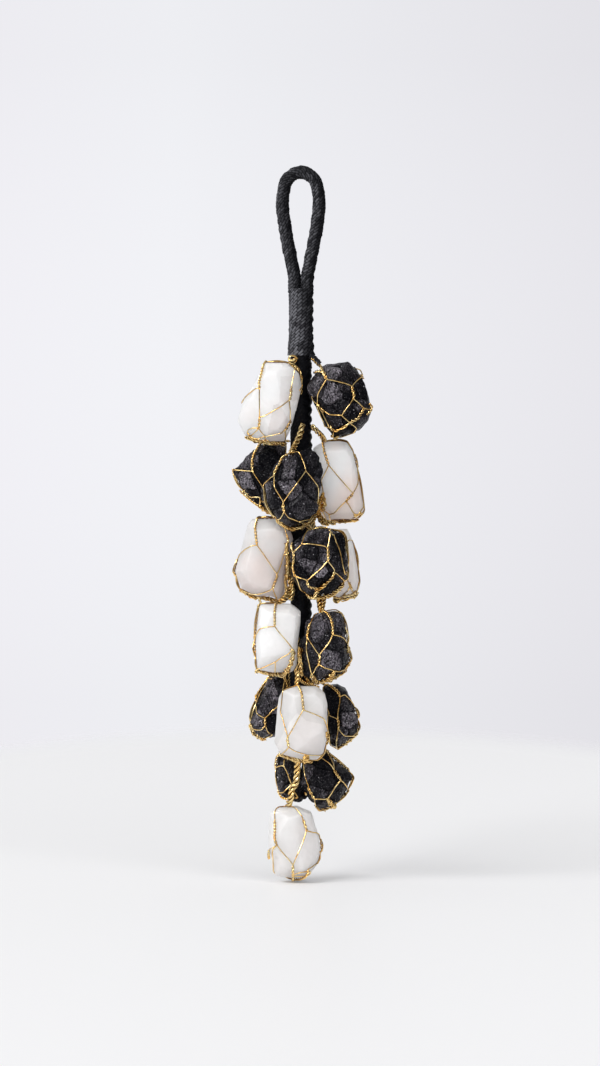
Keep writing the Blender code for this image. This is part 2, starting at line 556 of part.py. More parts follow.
def net_body(net, surface):
    """The net's wires over the stone, its plain back cell and its stem, in one body."""
    joints = {name: surface.facing(x, z, -1) for name, (x, z) in net.front.items()}
    middle = surface.centre.y
    for name, (x, z) in net.edge.items():
        joints[name] = surface.outward(Vector((x, middle, z)))
    for name, extra in net.proud.items():
        joints[name] = surface.outward(joints[name], extra)
    upper, lower = net.back
    for name, names in (("back_upper", upper), ("back_lower", lower)):
        spot = sum((joints[other] for other in names), Vector()) / len(names)
        spot = spot.lerp(surface.centre, BACK_INSET)
        joints[name] = surface.facing(spot.x, spot.z, 1)
    back = [name + "-back_upper" for name in upper] + [name + "-back_lower" for name in lower]

    stem_radius, stem = net.stem
    stem = [Vector(point) for point in stem] + [joints["t"]]

    def outward(point):
        """Away from the stone's centre, or to the front along the stem."""
        on_stem = min((point - p).length for p in stem[:-1]) < (point - joints["t"]).length
        if on_stem or (point - joints["t"]).length < PARALLEL:
            return Vector(STEM_OUTWARD)
        return point - surface.centre

    frame = WireFrame(outward)
    for wire in net.wires.split() + back + ["back_upper=back_lower"]:
        kind = next(mark for mark in STRAND if mark in wire)
        start, end = wire.split(kind)
        path = surface.drape(joints[start], joints[end], net.proud.get(start, 0.0),
                             net.proud.get(end, 0.0))
        frame.add(start, end, STRAND[kind], path)
    frame.add("stem", "t", stem_radius, stem)
    return frame.body()


# ---- objects and materials ----------------------------------------------------------------
def material(finish):
    """The Principled material of a finish: name, colour, roughness, metallic."""
    name, colour, roughness, metallic = finish
    if name in bpy.data.materials:
        return bpy.data.materials[name]
    made = bpy.data.materials.new(name)
    made.use_nodes = True
    shader = made.node_tree.nodes["Principled BSDF"]
    shader.inputs["Base Color"].default_value = (*colour, 1.0)
    shader.inputs["Roughness"].default_value = roughness
    shader.inputs["Metallic"].default_value = metallic
    return made


def place(name, body, finish, smooth=False):
    """Turn a body in millimetres into a named object in metres."""
    bmesh.ops.scale(body, vec=(MM, MM, MM), verts=body.verts)
    mesh = bpy.data.meshes.new(name)
    body.to_mesh(mesh)
    body.free()
    if smooth:
        mesh.shade_smooth()
        mesh.set_sharp_from_angle(angle=math.radians(SMOOTH_ANGLE))
    mesh.materials.append(material(finish))
    made = bpy.data.objects.new(name, mesh)
    bpy.context.scene.collection.objects.link(made)
    return made


def lathe(profile, flatten=1.0):
    """A closed body turned round Z from (radius, z) pairs, flattened in depth."""
    body = bmesh.new()
    rings = []
    for radius, z in profile:
        ring = []
        for k in range(ROUND_SIDES):
            angle = 2 * math.pi * (k + 0.5) / ROUND_SIDES
            spot = (radius * math.cos(angle), radius * flatten * math.sin(angle), z)
            ring.append(body.verts.new(spot))
        rings.append(ring)
    for ring, following in zip(rings, rings[1:]):
        for k in range(ROUND_SIDES):
            after = (k + 1) % ROUND_SIDES
            body.faces.new((ring[k], ring[after], following[after], following[k]))
    body.faces.new(rings[0])
    body.faces.new(rings[-1])
    bmesh.ops.recalc_face_normals(body, faces=body.faces)
    return body


def hanging_loop():
    """The teardrop of rope, both ends down at the top of the binding."""
    right = [(x, 0.0, z) for x, z in LOOP_HALF] + [(LOOP_END[0], 0.0, LOOP_END[1])]
    left = [(-x, y, z) for x, y, z in reversed(right[1:])]
    path = catmull_rom(left + right, LOOP_POINTS)
    curve = bpy.data.curves.new("hanging_loop", "CURVE")
    curve.dimensions = "3D"
    curve.bevel_depth = ROPE_DIAMETER / 2 * MM
    curve.bevel_resolution = 2
    curve.use_fill_caps = True
    spline = curve.splines.new("POLY")
    spline.points.add(len(path) - 1)
    for target, point in zip(spline.points, path):
        target.co = (*(point * MM), 1.0)
    curve.materials.append(material(CORD))
    bpy.context.scene.collection.objects.link(bpy.data.objects.new("hanging_loop", curve))


def neck_binding():
    """The oval binding with its turns, spreading a little at the foot."""
    pitch = (BINDING_TOP - BINDING_BOTTOM) / BINDING_TURNS
    profile = []
    for turn in range(BINDING_TURNS):
        top = BINDING_TOP - turn * pitch
        down = turn / (BINDING_TURNS - 1)
        radius = BINDING_HALF_WIDTH + BINDING_FLARE * down ** FLARE_SHARPNESS
        profile.append((radius - TURN_RELIEF, top))
        profile.append((radius, top - 0.5 * pitch))
    profile.append((BINDING_HALF_WIDTH + BINDING_FLARE - TURN_RELIEF, BINDING_BOTTOM))
    body = lathe(profile, BINDING_HALF_DEPTH / BINDING_HALF_WIDTH)
    place("neck_binding", body, CORD, smooth=True)


def core_cord():
    """The wrapped rope behind the stones, from the binding down."""
    body = lathe([(CORE_RADIUS, BINDING_BOTTOM - GAP), (CORE_RADIUS, CORE_BOTTOM)])
    place("core_cord", body, CORD, smooth=True)


def stones_and_nets():
    """Each stone with its own net of wire."""
    for name, stone in STONES.items():
        body = stone_body(stone)
        surface = Surface(body)
        place("stone_" + name, body, stone.finish)
        place("net_" + name, net_body(NETS[name], surface), GOLD)


def main():
    """Clear the scene and build the door hanging."""
    for old in list(bpy.data.objects):
        bpy.data.objects.remove(old)
    hanging_loop()
    neck_binding()
    core_cord()
    stones_and_nets()


main()
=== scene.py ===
"""Crystal door hanging, dressed: rough quartz and tourmaline in gold nets on a wrapped rope.

Each stone grows from the flats of its solid, each net runs over the stone that it holds,
and the rope follows the loop, the binding and the core. The tables and the shapes are in
millimetres in the object's own frame, and a mesh is turned into metres as it is made.
"""

from __future__ import annotations

import itertools
import logging
import math
from collections.abc import Mapping, Sequence
from dataclasses import dataclass, field
from enum import Enum
from typing import ClassVar

import bpy
import numpy as np
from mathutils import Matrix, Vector
from numpy.typing import NDArray

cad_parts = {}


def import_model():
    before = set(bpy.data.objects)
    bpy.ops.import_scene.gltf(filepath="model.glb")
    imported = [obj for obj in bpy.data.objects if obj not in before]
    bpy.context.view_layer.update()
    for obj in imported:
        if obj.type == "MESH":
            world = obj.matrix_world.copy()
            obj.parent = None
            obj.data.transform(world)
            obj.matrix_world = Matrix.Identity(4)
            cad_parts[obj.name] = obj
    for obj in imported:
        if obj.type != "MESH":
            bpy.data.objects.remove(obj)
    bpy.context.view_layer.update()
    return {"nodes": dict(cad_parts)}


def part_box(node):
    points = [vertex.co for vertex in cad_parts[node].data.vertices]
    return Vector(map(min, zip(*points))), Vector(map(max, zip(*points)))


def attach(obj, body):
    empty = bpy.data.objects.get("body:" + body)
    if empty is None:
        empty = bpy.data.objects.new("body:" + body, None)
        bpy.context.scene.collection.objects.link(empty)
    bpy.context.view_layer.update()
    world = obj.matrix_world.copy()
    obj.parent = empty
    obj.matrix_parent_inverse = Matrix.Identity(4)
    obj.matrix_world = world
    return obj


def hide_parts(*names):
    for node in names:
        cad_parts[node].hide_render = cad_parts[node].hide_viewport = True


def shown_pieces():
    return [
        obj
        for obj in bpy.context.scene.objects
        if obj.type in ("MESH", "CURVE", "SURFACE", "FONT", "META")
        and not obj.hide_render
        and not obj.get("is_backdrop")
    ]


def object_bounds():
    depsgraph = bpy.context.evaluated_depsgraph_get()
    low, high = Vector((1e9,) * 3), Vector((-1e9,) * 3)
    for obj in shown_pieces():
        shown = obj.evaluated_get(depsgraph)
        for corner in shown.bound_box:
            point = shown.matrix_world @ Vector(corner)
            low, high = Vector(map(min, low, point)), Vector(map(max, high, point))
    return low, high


Array = NDArray[np.float64]
Numbers = NDArray[np.int64]
Colour = tuple[float, float, float]
Place = tuple[float, float, float]
Rows = Sequence[tuple[float, ...]]
Places = dict[str, tuple[float, ...]]

log = logging.getLogger("door_hanging")

MM = 0.001
BODY = "root"
NO_CREASE = 180.0
FRONT_SIDE, BACK_SIDE = -1.0, 1.0
RIGHT = np.array([1.0, 0.0, 0.0])
FRONT = np.array([0.0, -1.0, 0.0])
# The lower right way, where a quartz gets a rosy tint and painted shade.
ROSY_SHADE_WAY = np.array([0.5, 0.0, -0.4])


# ---- small helpers on arrays ---------------------------------------------------------------
def unit(vectors: Array) -> Array:
    """Vectors scaled to length one."""
    return vectors / np.maximum(np.linalg.norm(vectors, axis=-1, keepdims=True), 1e-12)


def square_to(vectors: Array, along: Array) -> Array:
    """The part of each vector that is square to the direction along, at length one."""
    return unit(vectors - (vectors * along).sum(-1, keepdims=True) * along)


def smooth_step(low: float, high: float, value: Array) -> Array:
    """0 below low, 1 above high, and 3t^2 - 2t^3 between them."""
    part = np.clip((value - low) / (high - low), 0.0, 1.0)
    return part * part * (3.0 - 2.0 * part)


def run_lengths(path: Array) -> Array:
    """The distance along the path at each of its points."""
    steps = np.linalg.norm(np.diff(path, axis=0), axis=1)
    return np.concatenate([[0.0], np.cumsum(steps)])


def even_steps(path: Array, step: float) -> Array:
    """The same path with points about one step apart.

    Args:
        path: The line to follow.
        step: How far apart the new points are.

    Returns:
        The points.
    """
    lengths = run_lengths(path)
    count = max(3, int(round(lengths[-1] / step)) + 1)
    spots = np.linspace(0.0, lengths[-1], count)
    return np.stack([np.interp(spots, lengths, path[:, k]) for k in range(3)], axis=1)


def smooth_curve(points: Sequence[Sequence[float]], step: float) -> Array:
    """A smooth curve through the points.

    Between two points a and b, with the ones before and after them, it is the cubic
    through a and b whose slope at each is half the difference of its two neighbours.

    Args:
        points: What the curve passes through.
        step: The distance between the points returned.

    Returns:
        Points along the curve.
    """
    given = np.array(points, dtype=float)
    if len(given) == 2:
        return even_steps(given, step)
    ends = np.concatenate([[2 * given[0] - given[1]], given, [2 * given[-1] - given[-2]]])
    before, start, end, after = ends[:-3], ends[1:-2], ends[2:-1], ends[3:]
    t = np.linspace(0.0, 1.0, 24, endpoint=False)[None, :, None]
    a, b, c, d = (p[:, None, :] for p in (before, start, end, after))
    curve = 0.5 * (2 * b + (c - a) * t + (2 * a - 5 * b + 4 * c - d) * t**2
                   + (3 * b - a - 3 * c + d) * t**3)
    return even_steps(np.concatenate([curve.reshape(-1, 3), given[-1:]]), step)


class Noise:
    """Smooth random values over space, the same at each run."""

    SIZE = 32

    def __init__(self, seed: int) -> None:
        """Fill the lattice from the seed."""
        draw = np.random.default_rng(seed)
        self.lattice = draw.uniform(-1.0, 1.0, (self.SIZE, self.SIZE, self.SIZE))

    def at(self, points: Array, wavelength: float) -> Array:
        """The lattice's eight values round each point, blended by 6t^5 - 15t^4 + 10t^3.

        Args:
            points: Where it is read.
            wavelength: The distance between two lattice points.

        Returns:
            Values from -1 to 1.
        """
        scaled = points / wavelength
        cell = np.floor(scaled).astype(int)
        part = scaled - cell
        fade = part**3 * (part * (part * 6.0 - 15.0) + 10.0)
        value = np.zeros(points.shape[:-1])
        for corner in itertools.product((0, 1), repeat=3):
            weight = np.prod(np.where(corner, fade, 1.0 - fade), axis=-1)
            spot = (cell + corner) % self.SIZE
            value += weight * self.lattice[spot[..., 0], spot[..., 1], spot[..., 2]]
        return value

    def rough(self, points: Array, wavelength: float, octaves: int) -> Array:
        """Octaves added up, each with half the wavelength and half the height."""
        return sum(self.at(points + 7.3 * k, wavelength / 2**k) / 2**k for k in range(octaves))


# ---- meshes --------------------------------------------------------------------------------
@dataclass
class Shell:
    """One closed surface: points, four-sided faces, three-sided faces, and a value a point."""

    points: Array
    quads: Numbers
    trios: Numbers
    tone: Array


def ring_shell(rings: Array, first: Array, last: Array, tone: Array) -> Shell:
    """The closed surface through rings of points, with a pole at each end.

    Args:
        rings: Points by ring and by place in the ring, counted so that turning from one
            to the next and then moving on to the next ring keeps the outside in front.
        first: The pole before the first ring.
        last: The pole after the last ring.
        tone: A value for each point of the rings.

    Returns:
        The surface.
    """
    count, sides = rings.shape[:2]
    here = np.arange(count * sides).reshape(count, sides)
    turned = np.roll(here, -1, axis=1)
    quads = np.stack([here[:-1], turned[:-1], turned[1:], here[1:]], axis=-1).reshape(-1, 4)
    low, high = count * sides, count * sides + 1
    foot = np.stack([np.full(sides, low), turned[0], here[0]], axis=-1)
    head = np.stack([np.full(sides, high), here[-1], turned[-1]], axis=-1)
    points = np.concatenate([rings.reshape(-1, 3), [first], [last]])
    tones = np.concatenate([tone.reshape(-1), [tone[0].mean()], [tone[-1].mean()]])
    return Shell(points, quads, np.concatenate([foot, head]), tones)


def tube(path: Array, radius: Array | float, sides: int, reference: Array) -> Shell:
    """A round wire along a path, with blunt ends.

    A ring's points are radius times (cos a, sin a) in the plane square to the path, with
    a counted from the part of the reference that lies in that plane.

    Args:
        path: The wire's middle line.
        radius: Its radius, or one for each point of the path.
        sides: How many points a ring has.
        reference: A direction, or one for each point, that is never along the path.

    Returns:
        The closed surface, with a tone from 0 to 1 as it turns towards the reference, which the
        gold finish uses to paint the far side dark as shade.
    """
    along = unit(np.gradient(path, axis=0))
    up = square_to(np.broadcast_to(reference, path.shape), along)
    side = np.cross(along, up)
    angle = 2 * math.pi * np.arange(sides) / sides
    reach = np.broadcast_to(radius, len(path))[:, None, None]
    cosine, sine = np.cos(angle)[None, :, None], np.sin(angle)[None, :, None]
    spoke = cosine * up[:, None] + sine * side[:, None]
    rings = path[:, None] + reach * spoke
    first = path[0] - 0.5 * reach[0, 0, 0] * along[0]
    last = path[-1] + 0.5 * reach[-1, 0, 0] * along[-1]
    # Painted light: the tone is 1 on the side towards the reference and 0 on the far side, where
    # the gold is painted dark as shade.
    bright = np.broadcast_to(0.5 + 0.5 * np.cos(angle), rings.shape[:2])
    return ring_shell(rings, first, last, bright)


def make_piece(name: str, shells: Sequence[Shell], material: bpy.types.Material,
               tone: str = "", crease: float = NO_CREASE) -> bpy.types.Object:
    """Join closed surfaces into one object in metres, smooth but for its creases.

    Args:
        name: The piece's name.
        shells: The surfaces, in millimetres.
        material: Its finish.
        tone: The name under which the values of the points are kept, or nothing.
        crease: Edges that bend by more than this angle stay sharp.

    Returns:
        The object, at the origin.
    """
    starts = np.cumsum([0] + [len(shell.points) for shell in shells[:-1]])
    points = np.concatenate([shell.points for shell in shells]) * MM
    quads = np.concatenate([shell.quads + start for shell, start in zip(shells, starts)])
    trios = np.concatenate([shell.trios + start for shell, start in zip(shells, starts)])
    mesh = bpy.data.meshes.new(name)
    mesh.from_pydata(points.tolist(), [], quads.tolist() + trios.tolist())
    mesh.polygons.foreach_set("use_smooth", np.ones(len(mesh.polygons), dtype=bool))
    if crease < NO_CREASE:
        mesh.set_sharp_from_angle(angle=math.radians(crease))
    if tone:
        values = np.concatenate([shell.tone for shell in shells])
        mesh.attributes.new(tone, "FLOAT", "POINT").data.foreach_set("value", values)
    mesh.materials.append(material)
    piece = bpy.data.objects.new(name, mesh)
    bpy.context.scene.collection.objects.link(piece)
    return piece


def put_in(piece: bpy.types.Object, node: str) -> None:
    """Let the piece stand for a node and ride with the body.

    Args:
        piece: The piece.
        node: The node that it stands for.
    """
    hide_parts(node)
    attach(piece, BODY)
    log.info("%s: %d faces", piece.name, len(piece.data.polygons))


# ---- finishes ------------------------------------------------------------------------------
class Graph:
    """A material or a node group while it is being wired."""

    def __init__(self, tree: bpy.types.NodeTree) -> None:
        """Start from an empty tree."""
        self.tree = tree
        tree.nodes.clear()

    def feed(self, node: bpy.types.Node, **inputs: object) -> bpy.types.Node:
        """Set a node's inputs.

        Args:
            node: The node.
            inputs: Plain values or other nodes' outputs for its inputs, by the input's
                name with _ for a space, or in0, in1 and so on by place.

        Returns:
            The same node.
        """
        for key, value in inputs.items():
            numbered = key[:2] == "in" and key[2:].isdigit()
            socket = node.inputs[int(key[2:]) if numbered else key.replace("_", " ")]
            if isinstance(value, bpy.types.NodeSocket):
                self.tree.links.new(value, socket)
            else:
                socket.default_value = value
        return node

    def add(self, kind: str, settings: dict[str, object] | None = None,
            **inputs: object) -> bpy.types.Node:
        """Add a node.

        Args:
            kind: Its type, without the ShaderNode in front.
            settings: Its own properties.
            inputs: What feed takes.

        Returns:
            The node.
        """
        node = self.tree.nodes.new("ShaderNode" + kind)
        for key, value in (settings or {}).items():
            setattr(node, key, value)
        return self.feed(node, **inputs)

    def group(self, tree: bpy.types.NodeTree, **inputs: object) -> bpy.types.Node:
        """Place a node group and set its inputs."""
        return self.add("Group", {"node_tree": tree}, **inputs)

    def place(self) -> bpy.types.NodeSocket:
        """The place on the object, in metres."""
        return self.add("TexCoord").outputs["Object"]

    def kept(self, name: str) -> bpy.types.NodeSocket:
        """A value that the mesh keeps for each point."""
        return self.add("Attribute", {"attribute_name": name}).outputs["Fac"]

    def ramp(self, factor: bpy.types.NodeSocket, *stops: tuple[float, tuple[float, ...]]
             ) -> bpy.types.NodeSocket:
        """A colour that runs through the stops as the factor goes from 0 to 1.

        Args:
            factor: What the colour runs with.
            stops: Each stop's place and colour.

        Returns:
            The colour.
        """
        node = self.add("ValToRGB", Fac=factor)
        elements = node.color_ramp.elements
        while len(elements) < len(stops):
            elements.new(0.5)
        for element, (place, colour) in zip(elements, stops):
            element.position = place
            element.color = (*colour, 1.0)
        return node.outputs["Color"]

    def mix(self, factor: object, first: object, second: object, blend: str = "MIX"
            ) -> bpy.types.NodeSocket:
        """Two colours mixed by a factor.

        Args:
            factor: 0 for the first colour, 1 for the second.
            first: A colour or a node's output.
            second: Another one.
            blend: How they are mixed.

        Returns:
            The mixed colour.
        """
        ends = [end if isinstance(end, bpy.types.NodeSocket) else (*end, 1.0)
                for end in (first, second)]
        return self.add("Mix", {"data_type": "RGBA", "blend_type": blend}, in0=factor,
                        in6=ends[0], in7=ends[1]).outputs[2]

    def between(self, factor: bpy.types.NodeSocket, low: float, high: float
                ) -> bpy.types.NodeSocket:
        """The factor, from 0 to 1, spread from low to high."""
        return self.add("MapRange", Value=factor, To_Min=low, To_Max=high).outputs["Result"]

    def within(self, value: bpy.types.NodeSocket, low: float, high: float, eased: bool = False,
               **ends: float) -> bpy.types.NodeSocket:
        """0 below low, 1 above high and a straight or an eased rise between them.

        Args:
            value: What is read.
            low: Where the rise starts.
            high: Where it ends.
            eased: Whether it is eased.
            ends: To_Min and To_Max, where they are not 0 and 1.

        Returns:
            The value.
        """
        settings = {"interpolation_type": "SMOOTHSTEP" if eased else "LINEAR"}
        return self.add("MapRange", settings, Value=value, From_Min=low, From_Max=high,
                        **ends).outputs["Result"]

    def math(self, operation: str, first: object, second: object = 0.0, clamp: bool = False
             ) -> bpy.types.NodeSocket:
        """A sum on numbers, kept from 0 to 1 or not."""
        return self.add("Math", {"operation": operation, "use_clamp": clamp}, in0=first,
                        in1=second).outputs[0]

    def vector(self, operation: str, first: object, **others: object) -> bpy.types.Node:
        """A sum on vectors."""
        return self.add("VectorMath", {"operation": operation}, in0=first, **others)

    def relief(self, height: bpy.types.NodeSocket, strength: object, depth: float
               ) -> bpy.types.NodeSocket:
        """A normal from a height, the depth in metres."""
        return self.add("Bump", Height=height, Strength=strength, Distance=depth).outputs["Normal"]


def new_group(name: str, inputs: dict[str, tuple[str, object]], outputs: dict[str, str]
              ) -> tuple[Graph, bpy.types.Node, bpy.types.Node]:
    """Start a node group.

    Args:
        name: The group's name.
        inputs: For each input its type, Float or Vector, and its value if unlinked.
        outputs: For each output its type.

    Returns:
        The graph inside it, its input node and its output node.
    """
    tree = bpy.data.node_groups.new(name, "ShaderNodeTree")
    for label, (kind, value) in inputs.items():
        socket = tree.interface.new_socket(label, in_out="INPUT", socket_type="NodeSocket" + kind)
        if kind == "Float":
            socket.default_value = value
    for label, kind in outputs.items():
        tree.interface.new_socket(label, in_out="OUTPUT", socket_type="NodeSocket" + kind)
    graph = Graph(tree)
    return graph, graph.tree.nodes.new("NodeGroupInput"), graph.tree.nodes.new("NodeGroupOutput")


class Effects:
    """The patterns that more than one finish uses."""

    def __init__(self) -> None:
        """Build each group once."""
        self._cloudy = self._grain()
        self._split = self._facets()

    def grain(self, graph: Graph, place: bpy.types.NodeSocket, scale: float, detail: float,
              contrast: float) -> bpy.types.Node:
        """Put cloudy grain into a graph."""
        return graph.group(self._cloudy, Vector=place, Scale=scale, Detail=detail,
                           Contrast=contrast)

    def facets(self, graph: Graph, place: bpy.types.NodeSocket, scale: float) -> bpy.types.Node:
        """Put crystal grains into a graph."""
        return graph.group(self._split, Vector=place, Scale=scale)

    def _grain(self) -> bpy.types.NodeTree:
        """Cloudy grain: noise at a scale, and the same with its contrast raised.

        Returns:
            The group.
        """
        graph, given, out = new_group(
            "Grain", {"Vector": ("Vector", None), "Scale": ("Float", 100.0),
                      "Detail": ("Float", 3.0), "Contrast": ("Float", 1.0)},
            {"Soft": "Float", "Hard": "Float"})
        soft = graph.add("TexNoise", Vector=given.outputs["Vector"], Scale=given.outputs["Scale"],
                         Detail=given.outputs["Detail"]).outputs[0]
        raised = graph.math("MULTIPLY", graph.math("SUBTRACT", soft, 0.5),
                            given.outputs["Contrast"])
        graph.feed(out, Soft=soft, Hard=graph.math("ADD", raised, 0.5, clamp=True))
        return graph.tree

    def _facets(self) -> bpy.types.NodeTree:
        """Crystal grains: each cell is a flat that leans its own way.

        The height is the cell's random direction times the way from the cell's middle.

        Returns:
            The group.
        """
        graph, given, out = new_group(
            "Facets", {"Vector": ("Vector", None), "Scale": ("Float", 900.0)},
            {"Height": "Float"})
        place, scale = given.outputs["Vector"], given.outputs["Scale"]
        cells = graph.add("TexVoronoi", Vector=place, Scale=scale)
        lean = graph.vector("SUBTRACT", cells.outputs["Color"], in1=(0.5, 0.5, 0.5))
        scaled = graph.vector("SCALE", place, Scale=scale)
        middle = graph.vector("SCALE", cells.outputs["Position"], Scale=scale)
        away = graph.vector("SUBTRACT", scaled.outputs[0], in1=middle.outputs[0])
        height = graph.vector("DOT_PRODUCT", lean.outputs[0], in1=away.outputs[0])
        graph.feed(out, Height=height.outputs["Value"])
        return graph.tree


def new_material(name: str) -> tuple[bpy.types.Material, Graph, bpy.types.Node]:
    """A material with an empty graph, its shader and the shader's output already wired.

    Args:
        name: The material's name.

    Returns:
        The material, its graph and its shader.
    """
    material = bpy.data.materials.new(name)
    material.use_nodes = True
    graph = Graph(material.node_tree)
    shader = graph.add("BsdfPrincipled")
    graph.add("OutputMaterial", Surface=shader.outputs[0])
    return material, graph, shader


@dataclass(frozen=True)
class Quartz:
    """Milky quartz: white or clouded, with a rosy tint and painted shade on its lower right side,
    soft light inside and a wet gloss.
    """

    clear: Colour = (0.957, 0.946, 0.948)
    deep: Colour = (0.56, 0.55, 0.54)
    shade_rose: Colour = (1.0, 0.8, 0.74)

    def material(self, effects: Effects) -> bpy.types.Material:
        """Wire the finish.

        Args:
            effects: The shared patterns.

        Returns:
            The material.
        """
        made, graph, shader = new_material("milky_quartz")
        place = graph.place()
        cloud = effects.grain(graph, place, 75.0, 4.0, 2.2)
        grain = effects.grain(graph, place, 900.0, 4.0, 1.5)
        facets = effects.facets(graph, place, 260.0)
        cloudy = graph.between(cloud.outputs["Hard"], -0.14, 0.14)
        white = graph.math("ADD", graph.kept("facet"), cloudy, clamp=True)
        colour = graph.mix(white, self.deep, self.clear)
        fine = graph.math("MULTIPLY", grain.outputs["Soft"], 0.5)
        height = graph.math("ADD", facets.outputs["Height"], fine)
        # Painted shade: the rosy multiply tints and darkens the lower right side.
        rosy = graph.mix(graph.kept("rosy_shade"), colour, self.shade_rose, "MULTIPLY")
        graph.feed(shader, Base_Color=rosy,
                   Roughness=graph.between(cloud.outputs["Soft"], 0.24, 0.58),
                   Normal=graph.relief(height, 0.08, 0.00035), Subsurface_Weight=1.0,
                   Subsurface_Scale=0.026, Subsurface_Radius=(0.9, 0.9, 0.9),
                   Transmission_Weight=0.18, IOR=1.54, Specular_IOR_Level=0.32)
        return made


@dataclass(frozen=True)
class Tourmaline:
    """Black tourmaline: near black, with grey flats that are partly a powdery finish and partly
    painted light, crystal grains and painted glints.
    """

    black: Colour = (0.0025, 0.0025, 0.0035)
    dust_and_light_grey: Colour = (0.16, 0.142, 0.165)
    glint: Colour = (0.8, 0.78, 0.82)
    drawn_out: Place = (1.0, 1.0, 0.45)

    def material(self, effects: Effects) -> bpy.types.Material:
        """Wire the finish: grey, partly powdery and partly painted light, lies on the flats, and
        painted glints and flashes lie in that grey.

        Args:
            effects: The shared patterns.

        Returns:
            The material.
        """
        made, graph, shader = new_material("black_tourmaline")
        place = graph.place()
        drawn = graph.vector("MULTIPLY", place, in1=self.drawn_out).outputs[0]
        patch = effects.grain(graph, drawn, 220.0, 5.0, 3.0)
        grain = effects.grain(graph, drawn, 1800.0, 5.0, 8.0)
        speck = effects.grain(graph, place, 1700.0, 3.0, 1.0)
        flake = effects.grain(graph, place, 640.0, 2.0, 1.0)
        cells = effects.facets(graph, place, 900.0)
        # Partly a powdery finish and partly painted light: from the facet attribute, faces that
        # take the light turn grey and faces in shade stay near black.
        dust_and_light = graph.math("MULTIPLY", graph.math("POWER", graph.kept("facet"), 1.7),
                          graph.between(patch.outputs["Hard"], 0.45, 1.2))
        speckle = graph.math("MULTIPLY", dust_and_light, graph.between(grain.outputs["Hard"], 0.05, 1.35))
        # Painted highlights: small glints and larger flashes painted into the colour of the grey
        # faces.
        spark = graph.math("MULTIPLY", graph.within(speck.outputs["Soft"], 0.6, 0.65),
                           graph.between(dust_and_light, 0.04, 0.6))
        flash = graph.math("MULTIPLY", graph.within(flake.outputs["Soft"], 0.715, 0.75),
                           graph.between(dust_and_light, 0.35, 1.2))
        colour = graph.mix(graph.math("MAXIMUM", spark, flash),
                           graph.mix(speckle, self.black, self.dust_and_light_grey), self.glint)
        fine = graph.math("MULTIPLY", grain.outputs["Soft"], 1.2)
        height = graph.math("ADD", cells.outputs["Height"], fine)
        graph.feed(shader, Base_Color=colour, Roughness=graph.between(dust_and_light, 0.13, 0.5),
                   Normal=graph.relief(height, graph.between(dust_and_light, 0.1, 1.0), 0.0004),
                   Specular_IOR_Level=graph.between(dust_and_light, 0.07, 0.28), IOR=1.5)
        return made


@dataclass(frozen=True)
class GoldWire:
    """Bright drawn wire: light gold with copper stains, and a dark painted shade on the side of
    each wire that turns from its outward way.
    """

    light: Colour = (1.0, 0.86, 0.46)
    copper: Colour = (1.0, 0.56, 0.13)
    shade_brown: Colour = (0.19, 0.062, 0.005)

    def material(self, effects: Effects) -> bpy.types.Material:
        """Wire the finish.

        Args:
            effects: The shared patterns.

        Returns:
            The material.
        """
        made, graph, shader = new_material("gold_wire")
        place = graph.place()
        stain = effects.grain(graph, place, 160.0, 3.0, 2.0)
        scratch = effects.grain(graph, place, 2600.0, 2.0, 1.0)
        tarnish = effects.grain(graph, place, 480.0, 2.0, 3.2)
        # The metal's own colour: light gold with copper stains.
        worn = graph.mix(stain.outputs["Hard"], self.light, self.copper)
        # Painted shade: where the bright attribute is low, on the side of a wire that turns from
        # its outward way, the colour goes dark; random tarnish spots darken it too.
        lit_and_untarnished = graph.math("MULTIPLY", graph.within(graph.kept("bright"), 0.24, 0.62, eased=True),
                           graph.between(tarnish.outputs["Hard"], 0.5, 1.5))
        graph.feed(shader, Base_Color=graph.mix(lit_and_untarnished, self.shade_brown, worn), Metallic=1.0,
                   Roughness=graph.between(scratch.outputs["Soft"], 0.1, 0.24),
                   Normal=graph.relief(scratch.outputs["Soft"], 0.15, 0.00005))
        return made


@dataclass(frozen=True)
class BlackCord:
    """Waxed cotton cord: black in the grooves and dark grey on the strands, a painted shade and a
    painted highlight.
    """

    groove: Colour = (0.0025, 0.0025, 0.0035)
    strand: Colour = (0.125, 0.125, 0.138)

    def material(self, effects: Effects) -> bpy.types.Material:
        """Wire the finish.

        Args:
            effects: The shared patterns.

        Returns:
            The material.
        """
        made, graph, shader = new_material("black_cord")
        place = graph.place()
        fibre = effects.grain(graph, place, 2200.0, 4.0, 2.5)
        painted_light_and_wear = effects.grain(graph, place, 180.0, 2.0, 2.0)
        # Painted highlight and shade: the relief attribute makes the strands' crests dark grey and
        # the grooves black, with random patches of rubbing.
        lit = graph.math("MULTIPLY", graph.math("POWER", graph.kept("relief"), 2.0),
                         graph.between(fibre.outputs["Hard"], 0.45, 1.35))
        lit = graph.math("MULTIPLY", lit, graph.between(painted_light_and_wear.outputs["Hard"], 0.55, 1.3))
        graph.feed(shader, Base_Color=graph.mix(lit, self.groove, self.strand),
                   Normal=graph.relief(fibre.outputs["Soft"], 0.6, 0.00018), Roughness=0.45,
                   Specular_IOR_Level=0.06)
        return made


@dataclass
class Finishes:
    """Every material of the object, built once."""

    effects: Effects = field(default_factory=Effects)

    def __post_init__(self) -> None:
        """Wire the materials."""
        self.quartz = Quartz().material(self.effects)
        self.tourmaline = Tourmaline().material(self.effects)
        self.gold = GoldWire().material(self.effects)
        self.cord = BlackCord().material(self.effects)


